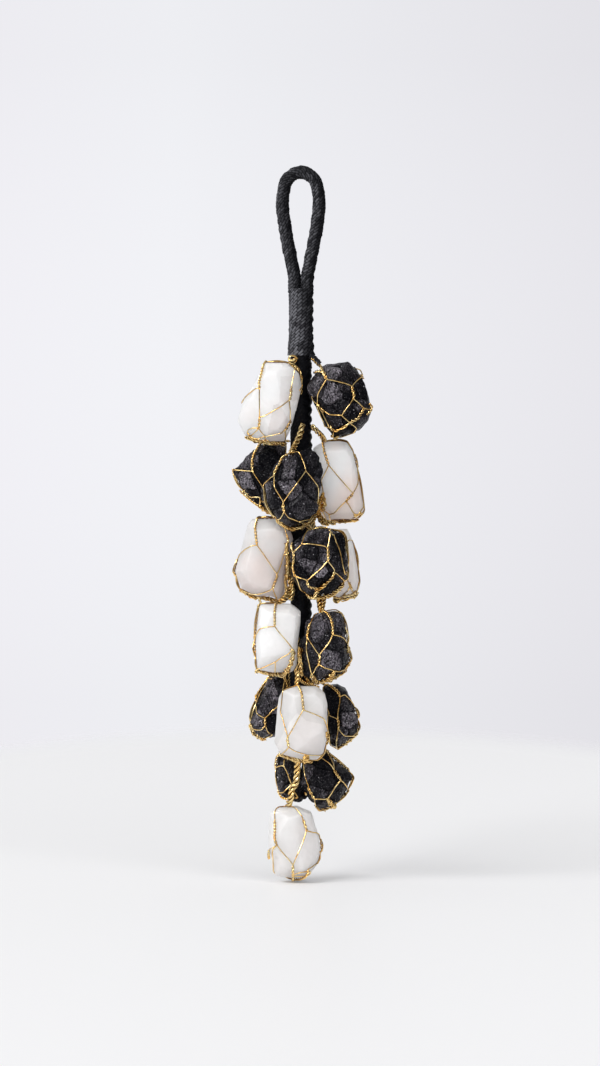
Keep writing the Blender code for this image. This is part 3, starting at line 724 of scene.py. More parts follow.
# ---- rope ----------------------------------------------------------------------------------
@dataclass(frozen=True)
class Winding:
    """Thin cord wound slantwise round a rope, pressed down where hidden strands cross it."""

    pitch: float                   # from one strand to the next along the rope
    stroke: float                  # a strand's length from one crossing to the next
    relief_height: float           # how far a strand stands out of its groove
    sides: int                     # points round the rope
    step: float                    # from one ring of points to the next
    hitch: float = 0.0             # how far the hitches stand out on the right
    hitch_pitch: float = 4.1
    painted_light_and_wear: float = 1.0              # how much lighter the strands are painted than the grooves, as highlight and shade
    slip: float = 0.5              # how far a strand wanders, in strands
    fuzz: float = 0.2              # how far the fibres stand out
    left_painted_light: float = 0.62        # how much more painted light its left side gets than its middle, as if lit from the left
    noise: Noise = field(default_factory=lambda: Noise(41))

    def relief(self, run: Array, around: Array, girth: float, wander: Array
               ) -> tuple[Array, Array]:
        """How far the surface stands out of the grooves, from 0 to 1, and its painted light, with
        random rubbing.

        A whole number of strands climbs at about 45 degrees. The height is the square
        root of 1 - u^2, times 0.25 + 0.75 (1 - v^6): u goes from -1 to 1 across a strand,
        and v along it between two crossings, which come at another place in each strand.
        The painted light is the height times its strength, times a value from 0.4 to 1 for each
        stretch, a random rubbing: crests are painted light as highlight and grooves dark as shade.

        Args:
            run: The distance along the rope.
            around: The angle round the rope.
            girth: The rope's circumference.
            wander: How far each place's strand has slipped, in strands.

        Returns:
            The height and the painted light, as shares of their most.
        """
        turn = around / (2 * math.pi)
        crossing = self.stroke * math.sqrt(2.0)
        strands, crossings = round(girth / self.pitch), round(girth / crossing)
        strand = strands * turn - run / self.pitch + wander
        which = np.mod(np.floor(strand), strands)
        cross = crossings * turn + run / crossing + 0.382 * which
        lot = 43758.5 * np.sin(12.99 * which + 78.2 * np.mod(np.floor(cross), crossings))
        u = 2.0 * (strand - np.floor(strand)) - 1.0
        v = 2.0 * (cross - np.floor(cross)) - 1.0
        height = np.sqrt(np.maximum(1.0 - u**2, 0.0)) * (0.25 + 0.75 * (1.0 - v**6))
        return height, self.painted_light_and_wear * height * (0.4 + 0.6 * (lot - np.floor(lot)))

    def surface(self, path: Array, sideways: Array, half_width: Array | float,
                half_depth: Array | float) -> Shell:
        """A wound rope along a path.

        Each ring is an oval, half_width sideways and half_depth square to that. A point
        stands out of it by relief_height (height - 1), by the fibres' noise and, on the
        right, by hitch (b - 1/2), where b is the size of sin(pi (run / hitch_pitch +
        turn)). The painted light is multiplied by 0.8 minus the left-side gain times x,
        where x goes from -1 on the left to 1 on the right: painted light on the left and
        painted shade on the right, as if lit from the left.

        Args:
            path: The rope's middle line.
            sideways: The direction of its width at each point.
            half_width: Half its full width.
            half_depth: Half its full depth.

        Returns:
            The closed surface, with the painted light as its tone.
        """
        along = unit(np.gradient(path, axis=0))
        width_way = square_to(np.broadcast_to(sideways, path.shape), along)
        depth_way = np.cross(along, width_way)
        run = run_lengths(path)[:, None]
        around = (2 * math.pi * np.arange(self.sides) / self.sides)[None, :]
        wide = np.broadcast_to(half_width, len(path))[:, None]
        deep = np.broadcast_to(half_depth, len(path))[:, None]
        girth = math.pi * (wide.mean() + deep.mean())
        spoke = np.cos(around)[..., None] * width_way[:, None]
        spoke = spoke + np.sin(around)[..., None] * depth_way[:, None]
        spot = path[:, None] + 3.0 * spoke
        height, painted_light_and_wear = self.relief(run, around, girth, self.slip * self.noise.at(spot, 3.5))
        # Painted light: the left side is lighter, as if lit from the left, and the right side
        # darker.
        painted_light_and_wear = painted_light_and_wear * (0.8 - self.left_painted_light * spoke[..., 0])
        rest = self.relief_height * (height - 1.0) + self.fuzz * self.noise.rough(spot, 2.0, 2)
        bump = np.abs(np.sin(math.pi * (run / self.hitch_pitch + around / (2 * math.pi))))
        rest = rest + self.hitch * (bump - 0.5) * smooth_step(0.2, 0.9, np.cos(around))
        rings = (path[:, None] + ((wide + rest) * np.cos(around))[..., None] * width_way[:, None]
                 + ((deep + rest) * np.sin(around))[..., None] * depth_way[:, None])
        return ring_shell(rings, path[0], path[-1], painted_light_and_wear)


@dataclass
class Rope:
    """The loop, its binding and the core that the stones hang from."""

    finishes: Finishes
    loop_half: Sequence[tuple[float, float]] = (
        (0.0, 2.9), (6.4, -0.9), (8.45, -11.0), (7.2, -23.0), (5.0, -35.0), (3.1, -45.0),
        (2.75, -50.4), (2.75, -53.0))
    diameter: float = 5.75
    exit: Place = (-3.05, 0.0, -50.4)
    # How much lighter each winding's strands are painted than its grooves sets its painted
    # highlight; the core's is lowest.
    loop_winding: Winding = Winding(1.62, 3.2, 0.44, 68, 0.24, painted_light_and_wear=0.93)
    binding_winding: Winding = Winding(1.55, 3.4, 0.5, 132, 0.24, hitch=0.6, painted_light_and_wear=1.36)
    core_winding: Winding = Winding(1.8, 2.4, 0.34, 72, 0.36, hitch=0.8, painted_light_and_wear=0.35)
    lump_winding: Winding = Winding(1.7, 2.6, 0.5, 72, 0.3, hitch=1.3, hitch_pitch=3.4, painted_light_and_wear=0.6)
    tail_winding: Winding = Winding(1.4, 1.6, 0.5, 24, 0.25)
    proud: float = 0.2             # how far the strands' tops stand out of the solid
    binding_proud: float = 0.3
    flare: float = 0.8             # how much wider the binding is at its foot
    flare_sharpness: int = 6
    lumps: tuple[float, float] = (4.9, 3.9)
    lump_length: float = 9.4
    lump_overlap: float = 1.0
    lump_shift: float = 0.4
    core_overlap: float = 1.5
    tail: Rows = (
        (4.2, -4.0, -81.6), (6.6, -4.4, -83.2), (8.6, -4.6, -85.6))
    tail_radius: float = 1.35

    def build(self) -> None:
        """Make the three pieces."""
        self.make_loop()
        self.make_binding()
        self.make_core()

    @staticmethod
    def corners(node: str) -> tuple[Array, Array]:
        """The low and the high corner of a node's box, in millimetres."""
        low, high = (np.array(corner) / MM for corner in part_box(node))
        return low, high

    @staticmethod
    def plumb(top: float, foot: float, step: float, across: float = 0.0) -> Array:
        """A line straight down, in points a step apart."""
        run = np.arange(top, foot, -step)
        return np.stack([np.full(len(run), across), np.zeros_like(run), run], axis=1)

    def make_loop(self) -> None:
        """The teardrop loop, a free cord from the binding's top and back to it."""
        right = [(x, 0.0, z) for x, z in self.loop_half]
        left = [(-x, y, z) for x, y, z in reversed(right[1:])]
        path = smooth_curve(left + right, self.loop_winding.step)
        radius = self.diameter / 2 + self.proud
        sideways = np.cross(unit(np.gradient(path, axis=0)), (0.0, 1.0, 0.0))
        shell = self.loop_winding.surface(path, sideways, radius, radius)
        piece = make_piece("wrapped_loop", [shell], self.finishes.cord, "relief")
        put_in(piece, "hanging_loop")

    def make_binding(self) -> None:
        """The oval binding, the lumps that narrow below it and a short bound tail.

        The binding's half width and half depth are the solid's less flare, plus flare
        times the sixth power of the share of its height that lies above.
        """
        low, high = self.corners("neck_binding")
        step = self.binding_winding.step
        path = self.plumb(high[2], low[2] - 0.5 * step, step)
        down = (high[2] - path[:, 2]) / (high[2] - low[2])
        grown = self.flare * np.clip(down, 0.0, 1.0) ** self.flare_sharpness
        wide, deep = ((high[k] - low[k]) / 2 - self.flare + grown + self.binding_proud
                      for k in (0, 1))
        shell = self.binding_winding.surface(path, RIGHT, wide, deep)
        line = smooth_curve(self.tail, self.tail_winding.step)
        bound = self.tail_winding.surface(line, FRONT, self.tail_radius, self.tail_radius)
        top = low[2] + self.lump_overlap
        line = self.plumb(top, top - self.lump_length, self.lump_winding.step, self.lump_shift)
        thin = np.linspace(*self.lumps, len(line))
        lumps = self.lump_winding.surface(line, RIGHT, thin, thin)
        piece = make_piece("wrapped_binding", [shell, bound, lumps], self.finishes.cord, "relief")
        put_in(piece, "neck_binding")

    def make_core(self) -> None:
        """The core cord behind the stones."""
        low, high = self.corners("core_cord")
        radius = (high[0] - low[0]) / 2 + self.proud
        path = self.plumb(high[2] + self.core_overlap, low[2], self.core_winding.step)
        shell = self.core_winding.surface(path, RIGHT, radius, radius)
        piece = make_piece("wrapped_core", [shell], self.finishes.cord, "relief")
        put_in(piece, "core_cord")


# ---- stones --------------------------------------------------------------------------------
class SphereGrid:
    """Directions in six square patches that are welded into one closed sheet."""

    def __init__(self, cells: int) -> None:
        """Spread the directions.

        On the patch of an axis a point is (1, tan u, tan v), with u and v from -45 to 45
        degrees in equal steps, scaled to length one.

        Args:
            cells: How many faces a patch has along each side.
        """
        self.cells = cells
        slope = np.tan(np.linspace(-math.pi / 4, math.pi / 4, cells + 1))
        first, second = np.meshgrid(slope, slope, indexing="ij")
        patches = []
        for sign in (1.0, -1.0):
            for axis in range(3):
                patch = np.empty((cells + 1, cells + 1, 3))
                patch[..., axis] = sign
                patch[..., (axis + 1) % 3] = first
                patch[..., (axis + 2) % 3] = second
                patches.append(patch)
        spots = np.round(np.stack(patches).reshape(-1, 3), 9)
        welded, index = np.unique(spots, axis=0, return_inverse=True)
        self.directions = unit(welded)
        self.index = index.reshape(6, cells + 1, cells + 1)
        here = self.index
        corners = [here[:, :-1, :-1], here[:, 1:, :-1], here[:, 1:, 1:], here[:, :-1, 1:]]
        quads = np.stack(corners, axis=-1)
        quads[3:] = quads[3:, :, :, ::-1]
        self.quads = quads.reshape(-1, 4)

    def look_up(self, directions: Array, values: Array) -> Array:
        """Values at any directions, blended from the four grid points round each.

        Args:
            directions: Where, of any length.
            values: One for each grid direction.

        Returns:
            A value for each direction.
        """
        size = np.abs(directions)
        axis = size.argmax(axis=-1)
        lead = np.take_along_axis(directions, axis[..., None], -1)[..., 0]
        first = np.take_along_axis(directions, ((axis + 1) % 3)[..., None], -1)[..., 0]
        second = np.take_along_axis(directions, ((axis + 2) % 3)[..., None], -1)[..., 0]
        patch = axis + 3 * (lead < 0)
        reach = np.maximum(np.abs(lead), 1e-12)
        u = (np.arctan(first / reach) * 4 / math.pi + 1) / 2 * self.cells
        v = (np.arctan(second / reach) * 4 / math.pi + 1) / 2 * self.cells
        i = np.clip(np.floor(u).astype(int), 0, self.cells - 1)
        j = np.clip(np.floor(v).astype(int), 0, self.cells - 1)
        u, v = u - i, v - j
        total = np.zeros(u.shape)
        for di, dj in itertools.product((0, 1), repeat=2):
            weight = (u if di else 1 - u) * (v if dj else 1 - v)
            total += weight * values[self.index[patch, i + di, j + dj]]
        return total


@dataclass(frozen=True)
class Fracture:
    """How a mineral breaks. Lengths are in millimetres."""

    chips: int                     # small flats that break corners and edges off
    chip_depth: tuple[float, float]
    rounding: float                # how far an edge is worn, as an angle from the middle
    faces: int                     # large broken faces
    crumbs: int                    # small broken faces
    swell: float                   # how high the slow swell is
    grain: float                   # how high the fine grain is
    grain_length: float
    step: float = 0.0              # from one face to the next
    lean: float = 0.0              # how far a face leans, as a slope
    valley: float = 0.0            # the groove between two faces, whose tone is also painted darker there as shade
    crumb_step: float = 0.0
    warp: float = 0.0              # how far the lines between faces wander
    patchy: float = 0.0            # how much the tone changes from one face to the next


class Mineral(Enum):
    """The two kinds of stone, with the way each breaks."""

    QUARTZ = Fracture(chips=18, chip_depth=(0.01, 0.04), rounding=0.02, faces=6, crumbs=4,
                      swell=0.2, grain=0.01, grain_length=1.6)
    TOURMALINE = Fracture(chips=60, chip_depth=(0.01, 0.06), rounding=0.006, faces=30,
                          crumbs=420, swell=0.16, grain=0.2, grain_length=1.1, step=0.65,
                          lean=0.12, valley=0.8, crumb_step=0.2, warp=0.7, patchy=1.0)


def two_nearest(points: Array, seeds: Array) -> tuple[Numbers, Array]:
    """The nearest seed to each point, and how much further off the next one is.

    Args:
        points: The points.
        seeds: The seeds.

    Returns:
        The nearest seed's number and the gap, for each point.
    """
    squares = (points**2).sum(axis=1)[:, None] - 2.0 * points @ seeds.T + (seeds**2).sum(axis=1)
    far = np.sqrt(np.maximum(squares, 0.0))
    least = np.partition(far, 1, axis=1)
    return far.argmin(axis=1), least[:, 1] - least[:, 0]


class Skin:
    """A finished stone's surface, as the wires that lie on it feel it."""

    HALVINGS = 26

    def __init__(self, grid: SphereGrid, centre: Array, radii: Array) -> None:
        """Keep the stone's middle and its radius in each direction of the grid."""
        self.grid, self.centre, self.radii = grid, centre, radii

    def over(self, points: Array, lift: Array | float) -> Array:
        """How far each point must lie from the middle to clear the stone by the lift."""
        return self.grid.look_up(points - self.centre, self.radii) + lift

    def settle(self, points: Array, lift: Array | float) -> Array:
        """The points moved in or out until they lie on the stone, the lift above it."""
        return self.centre + unit(points - self.centre) * self.over(points, lift)[..., None]

    def push_out(self, points: Array, lift: Array | float) -> Array:
        """The points that lie too deep moved out, and the rest where they are.

        Args:
            points: The points.
            lift: How far above the stone they must lie.

        Returns:
            The points, none too deep.
        """
        away = points - self.centre
        far = np.maximum(np.linalg.norm(away, axis=-1), 1e-9)
        grow = np.maximum(1.0, self.over(points, lift) / far)
        return self.centre + away * grow[..., None]

    def facing(self, x: Array | float, z: Array | float, lift: Array | float,
               side: float = FRONT_SIDE) -> Array:
        """The stone's points at (x, z), found by halving the depth between in and out.

        Args:
            x: Across.
            z: Up.
            lift: How far above the stone.
            side: FRONT_SIDE or BACK_SIDE.

        Returns:
            The points. One that is beside the stone lies at the depth of its middle.
        """
        inner = np.full(np.shape(x), self.centre[1])
        outer = inner + side * 2.0 * self.radii.max()
        for _ in range(self.HALVINGS):
            middle = (inner + outer) / 2
            points = np.stack([x, middle, z], axis=-1)
            far = np.linalg.norm(points - self.centre, axis=-1)
            outside = far > self.over(points, lift)
            outer = np.where(outside, middle, outer)
            inner = np.where(outside, inner, middle)
        return np.stack([x, (inner + outer) / 2, z], axis=-1)


@dataclass(frozen=True)
class Stone:
    """One rough stone, grown from the flats of its solid.

    faces are the broken faces seen from the front: (x, z, how far it stands out, tone).
    A tone runs from glossy black to a grey that is partly a powdery finish and partly
    painted light, or from clouded to white. bulges are soft swellings and hollows:
    (x, z, how far it stands out, how wide it is).
    """

    name: str
    mineral: Mineral
    seed: int
    tone: float
    faces: Rows = ()
    worn: float = 1.0              # how much rounder its edges are than its mineral's
    rosy_shade: float = 0.0             # how much rosy tint and painted shade its lower right side gets
    bulges: Rows = ()
    CONE: ClassVar[int] = 24       # how many directions an edge's wear is averaged over
    CLEAR: ClassVar[float] = 6.0   # how far the random faces stay from the given ones
    CREASE: ClassVar[float] = 32.0
    SHADES: ClassVar[tuple[float, float]] = (0.84, 1.16)
    SMALLEST: ClassVar[float] = 0.2
    GROOVE: ClassVar[float] = 0.8  # half the width of the groove between two faces

    def flats(self) -> tuple[Array, Array, Array]:
        """The solid's flats: its middle, and each flat's normal and distance from there.

        Returns:
            The middle, the normals and the distances.
        """
        mesh = bpy.data.objects["stone_" + self.name].data
        mesh.calc_loop_triangles()
        corners = np.empty(len(mesh.loop_triangles) * 3, dtype=np.int32)
        mesh.loop_triangles.foreach_get("vertices", corners)
        spots = np.empty(len(mesh.vertices) * 3)
        mesh.vertices.foreach_get("co", spots)
        spots = spots.reshape(-1, 3) / MM
        trios = spots[corners.reshape(-1, 3)]
        normals = np.cross(trios[:, 1] - trios[:, 0], trios[:, 2] - trios[:, 0])
        large = np.linalg.norm(normals, axis=1) > self.SMALLEST
        normals = unit(normals[large])
        centre = (spots.min(axis=0) + spots.max(axis=0)) / 2
        distances = (normals * (trios[large, 0] - centre)).sum(axis=1)
        keys = np.round(np.column_stack([normals * 50, distances * 5]))
        _, kept = np.unique(keys, axis=0, return_index=True)
        return centre, normals[kept], distances[kept]

    def block(self, grid: SphereGrid, draw: np.random.Generator) -> tuple[Skin, Array]:
        """The block before its surface breaks up.

        In each direction the radius is the least distance / (normal . direction) over
        the flats and a few chips, averaged over a small cone of directions, which wears
        the edges.

        Args:
            grid: The directions.
            draw: The random draws.

        Returns:
            The block's skin, and the shade of the flat at each direction.
        """
        way = self.mineral.value
        centre, normals, distances = self.flats()
        sharp = grid.directions / (grid.directions @ (normals / distances[:, None]).T).max(
            axis=1, keepdims=True)
        chips = unit(draw.normal(size=(way.chips, 3)))
        reach = (sharp @ chips.T).max(axis=0) * (1.0 - draw.uniform(*way.chip_depth, way.chips))
        slopes = np.concatenate([normals / distances[:, None], chips / reach[:, None]])
        cone = unit(draw.normal(size=(self.CONE, 3))) * way.rounding * self.worn
        shades = np.random.default_rng(self.seed + 500).uniform(*self.SHADES, len(slopes))
        parts = [unit(grid.directions + offset) @ slopes.T for offset in cone]
        radii = np.mean([1.0 / part.max(axis=1) for part in parts], axis=0)
        shade = np.mean([shades[part.argmax(axis=1)] for part in parts], axis=0)
        return Skin(grid, centre, radii), shade

    def grow(self, grid: SphereGrid) -> tuple[Skin, Array]:
        """Shape the stone.

        Every point of the block, shifted by a noise, belongs to its nearest face's middle
        and its nearest crumb's. A face adds its own offset and lean, a crumb an offset,
        and the line between two faces a groove e^-(gap / GROOVE)^2, where a tourmaline's
        tone is also painted up to half darker as shade. A bulge adds out e^-(far / wide)^2
        at the distance far from its place. Over all of it run a low swell and a grain,
        which is stronger where the tone is higher.

        Args:
            grid: The directions.

        Returns:
            The stone's skin, and the tone at each direction.
        """
        way = self.mineral.value
        draw = np.random.default_rng(self.seed)
        noise = Noise(self.seed)
        block, shade = self.block(grid, draw)
        points = block.centre + grid.directions * block.radii[:, None]
        given = np.array(self.faces, dtype=float).reshape(-1, 4)
        placed = block.facing(given[:, 0], given[:, 1], 0.0)
        seeds = points[draw.integers(0, len(points), way.faces)]
        seeds = seeds + draw.normal(size=seeds.shape)
        gaps = np.linalg.norm(seeds[:, None] - placed[None], axis=-1)
        seeds = np.concatenate([placed, seeds[(gaps > self.CLEAR).all(axis=1)]])
        more = len(seeds) - len(given)
        push = np.concatenate([given[:, 2], draw.uniform(-0.65, 0.35, more) * way.step])
        varied = self.tone + way.patchy * draw.uniform(-0.35, 0.3, more)
        tones = np.concatenate([given[:, 3], np.maximum(varied, 0.0)])
        leans = draw.normal(size=seeds.shape) * way.lean
        warp = np.stack([noise.rough(points + 31.0 * k, 4.5, 3) for k in (1, 2, 3)], axis=1)
        plain, points = points, points + way.warp * warp
        face, gap = two_nearest(points, seeds)
        lean = ((points - seeds[face]) * leans[face]).sum(axis=1)
        crumbs = points[draw.integers(0, len(points), way.crumbs)]
        crumb, _ = two_nearest(points, crumbs)
        offsets = draw.uniform(-1.0, 1.0, way.crumbs)

        radii = block.radii + push[face] + np.clip(lean, -way.step, 0.6 * way.step)
        groove = np.exp(-((gap / self.GROOVE) ** 2))
        radii = radii - way.valley * groove + way.crumb_step * offsets[crumb]
        own = shade + 0.12 * way.patchy * offsets[crumb]
        own = own + (0.12 + 0.33 * way.patchy) * noise.rough(points + 60.0, 3.0, 3)
        # Painted shade: the tone is darker in the groove between two faces.
        tone = np.clip(tones[face] * own * (1.0 - groove * min(way.valley, 0.5)), 0.0, 1.0)
        radii = radii + way.swell * noise.rough(points, 7.0, 3)
        for x, z, out, wide in self.bulges:
            far = np.linalg.norm(plain - block.facing(x, z, 0.0), axis=1)
            radii = radii + out * np.exp(-((far / wide) ** 2))
        radii = radii + way.grain * (0.3 + tone) * noise.rough(points, way.grain_length, 2)
        return Skin(grid, block.centre, radii), tone

    def build(self, grid: SphereGrid, finishes: Finishes) -> Skin:
        """Make the stone's mesh.

        A quartz gets a rosy tint and painted shade, darker, where its direction times
        (0.5, 0, -0.4), plus half a cloudy noise, rises from -0.7 to 0.5.

        Args:
            grid: The directions.
            finishes: The materials.

        Returns:
            The stone's skin, for the net.
        """
        skin, tone = self.grow(grid)
        points = skin.centre + grid.directions * skin.radii[:, None]
        shell = Shell(points, grid.quads, np.empty((0, 3), dtype=int), tone)
        quartz = self.mineral is Mineral.QUARTZ
        finish = finishes.quartz if quartz else finishes.tourmaline
        crease = NO_CREASE if quartz else self.CREASE
        piece = make_piece("rough_" + self.name, [shell], finish, "facet", crease)
        if quartz:
            # Rosy tint and painted shade on the lower right side.
            lean = grid.directions @ ROSY_SHADE_WAY
            cloud = Noise(self.seed + 900).rough(points, 12.0, 2)
            rosy = self.rosy_shade * smooth_step(-0.7, 0.5, lean + 0.5 * cloud)
            piece.data.attributes.new("rosy_shade", "FLOAT", "POINT").data.foreach_set("value", rosy)
        put_in(piece, "stone_" + self.name)
        return skin


# ---- wire ----------------------------------------------------------------------------------
@dataclass(frozen=True)
class Lay:
    """How wires lie together: strands on a ring, twisted, and wraps round them all."""

    strands: int
    ring: float                    # from the middle to each strand's middle
    twist: float                   # the length of a full turn
    wire: float = 0.325            # a wire's radius
    wraps: int = 0
    wrap_pitch: float = 2.4

    @property
    def lift(self) -> float:
        """From the stone to the middle of the wires."""
        return self.ring + self.wire + 0.04


class Strand(Enum):
    """The kinds of wire in the nets' tables."""

    WIRE = Lay(1, 0.0, 1.0, 0.285)
    PAIR = Lay(2, 0.41, 3.6)
    LOOSE = Lay(2, 0.4, 9.0)
    BUNDLE = Lay(4, 0.62, 8.0, wraps=1, wrap_pitch=4.4)
    COIL = Lay(1, 0.0, 1.0, 0.285, wraps=1, wrap_pitch=0.8)


MARKS = {"-": Strand.WIRE, "=": Strand.PAIR, ":": Strand.LOOSE, "#": Strand.BUNDLE,
         "@": Strand.COIL}


class WireShop:
    """Turns paths into wire, with small differences from one wire to the next."""

    SIDES = 6
    KNOT_WIRE = 0.33
    SINGLE_STEP = 0.8              # from one ring of a wire's points to the next
    TWISTED_STEP = 0.34

    def __init__(self, seed: int) -> None:
        """Start the random draws."""
        self.draw = np.random.default_rng(seed)
        self.shells: list[Shell] = []

    def add_wire(self, line: Array, radius: float, reference: Array) -> None:
        """Keep a wire along a line."""
        self.shells.append(tube(line, radius, self.SIDES, reference))

    def helix(self, path: Array, outward: Array, ring: Array, turns: Array) -> Array:
        """A line that winds round a path: path + ring (cos a outward + sin a sideways).

        Args:
            path: The line wound round.
            outward: A direction for each point, not along the path.
            ring: The radius at each point.
            turns: The number of turns made at each point.

        Returns:
            The winding line.
        """
        along = unit(np.gradient(path, axis=0))
        up = square_to(outward, along)
        side = np.cross(along, up)
        angle = 2 * math.pi * turns[:, None]
        return path + ring[:, None] * (np.cos(angle) * up + np.sin(angle) * side)

    def lay(self, path: Array, outward: Array, lay: Lay) -> None:
        """Run wires along a path.

        Each strand winds round the path at the lay's ring, which closes to about a third
        of it over the last millimetre at each end.

        Args:
            path: The middle line.
            outward: The way out of the stone at each point.
            lay: How the wires lie.
        """
        alone = lay.strands == 1
        line = even_steps(path, self.SINGLE_STEP if alone else self.TWISTED_STEP)
        run, ways = self.carry(path, outward, line)
        if alone:
            self.add_wire(line, lay.wire, ways)
        if alone and not lay.wraps:
            return
        start = self.draw.uniform()
        pitch = lay.twist * self.draw.uniform(0.85, 1.15)
        for k in range(0 if alone else lay.strands):
            left = run_lengths(path)[-1] - run
            ends = smooth_step(-0.3, 1.0, run) * smooth_step(-0.3, 1.0, left)
            loose = 1.0 + 0.3 * np.sin(run * self.draw.uniform(0.5, 1.3) + 6.0 * start + k)
            ring = lay.ring * (0.35 + 0.65 * ends) * (loose if lay.wraps else 1.0)
            winding = self.helix(line, ways, ring, start + k / lay.strands + run / pitch)
            self.add_wire(winding, lay.wire, winding - line + 0.2 * ways)
        if lay.wraps:
            self.wrap(path, outward, lay)

    @staticmethod
    def carry(path: Array, outward: Array, line: Array) -> tuple[Array, Array]:
        """The distance along a finer line, and the path's outward ways at its points.

        Args:
            path: The line.
            outward: A direction for each of its points.
            line: A finer line along it.

        Returns:
            The finer line's distances and directions.
        """
        run = run_lengths(line)
        ways = [np.interp(run, run_lengths(path), outward[:, k]) for k in range(3)]
        return run, np.stack(ways, axis=1)

    def wrap(self, path: Array, outward: Array, lay: Lay) -> None:
        """Wind wires round the ones along a path, a little unevenly.

        A wrap's radius is that of the wires inside it, plus a small sin(run times a
        random rate), which shifts its turns too.

        Args:
            path: The middle line.
            outward: The way out of the stone at each point.
            lay: How the wires lie.
        """
        line = even_steps(path, min(0.3, lay.wrap_pitch / 8))
        run, ways = self.carry(path, outward, line)
        swing, drift = (0.1, 0.3) if lay.ring else (0.14, 0.1)
        for _ in range(lay.wraps):
            pitch = lay.wrap_pitch * self.draw.uniform(0.85, 1.2)
            start = self.draw.uniform()
            wave = np.sin(run * self.draw.uniform(0.7, 1.2) + 6.0 * start)
            reach = lay.ring + 1.7 * lay.wire + swing * wave
            winding = self.helix(line, ways, reach, start + run / pitch + drift * wave)
            self.add_wire(winding, 0.9 * lay.wire, winding - line)

    def rope(self, path: Array, outward: Array, radius: float) -> None:
        """A thick rope of wire ends: strands that nearly touch, twisted hard."""
        self.lay(path, outward, Lay(3, 0.6 * radius, 5.0 * radius, 0.4 * radius))

    def knot(self, spot: Array, outward: Array, radius: float) -> None:
        """A wire wound into a small flattened ball.

        Its line is radius (cos a, sin a cos b, 0.6 sin a sin b), while a makes a few
        turns and b about one.

        Args:
            spot: The ball's middle.
            outward: The way in which it is flattened.
            radius: Its radius.
        """
        turn = 2 * math.pi * np.linspace(0.0, 1.0, 200)[:, None]
        a = self.draw.uniform(5.0, 6.4) * turn + self.draw.uniform(0.0, 6.0)
        b = self.draw.uniform(0.8, 1.3) * turn + self.draw.uniform(0.0, 6.0)
        facing = unit(outward)
        side = unit(np.cross(facing, (0.0, 0.0, 1.0)))
        up = np.cross(side, facing)
        ball = (np.cos(a) * side + np.sin(a) * np.cos(b) * up
                + 0.6 * np.sin(a) * np.sin(b) * facing)
        self.add_wire(spot + radius * ball, self.KNOT_WIRE, ball)

    def bead(self, spot: Array, radius: float) -> None:
        """A round drop of metal at a wire's end: a tube whose radius is radius sin a.

        Args:
            spot: The drop's middle.
            radius: Its radius.
        """
        turn = np.linspace(0.12, math.pi - 0.12, 9)
        line = spot + radius * np.stack([0 * turn, 0 * turn, np.cos(turn)], axis=1)
        # The tube's tone paints the bead's left side dark as shade.
        self.shells.append(tube(line, radius * np.sin(turn), 10, RIGHT))


@dataclass(frozen=True)
class Detail:
    """A wire beside the net's own: how it lies, and its points (x, z, lift)."""

    kind: Strand
    points: Rows


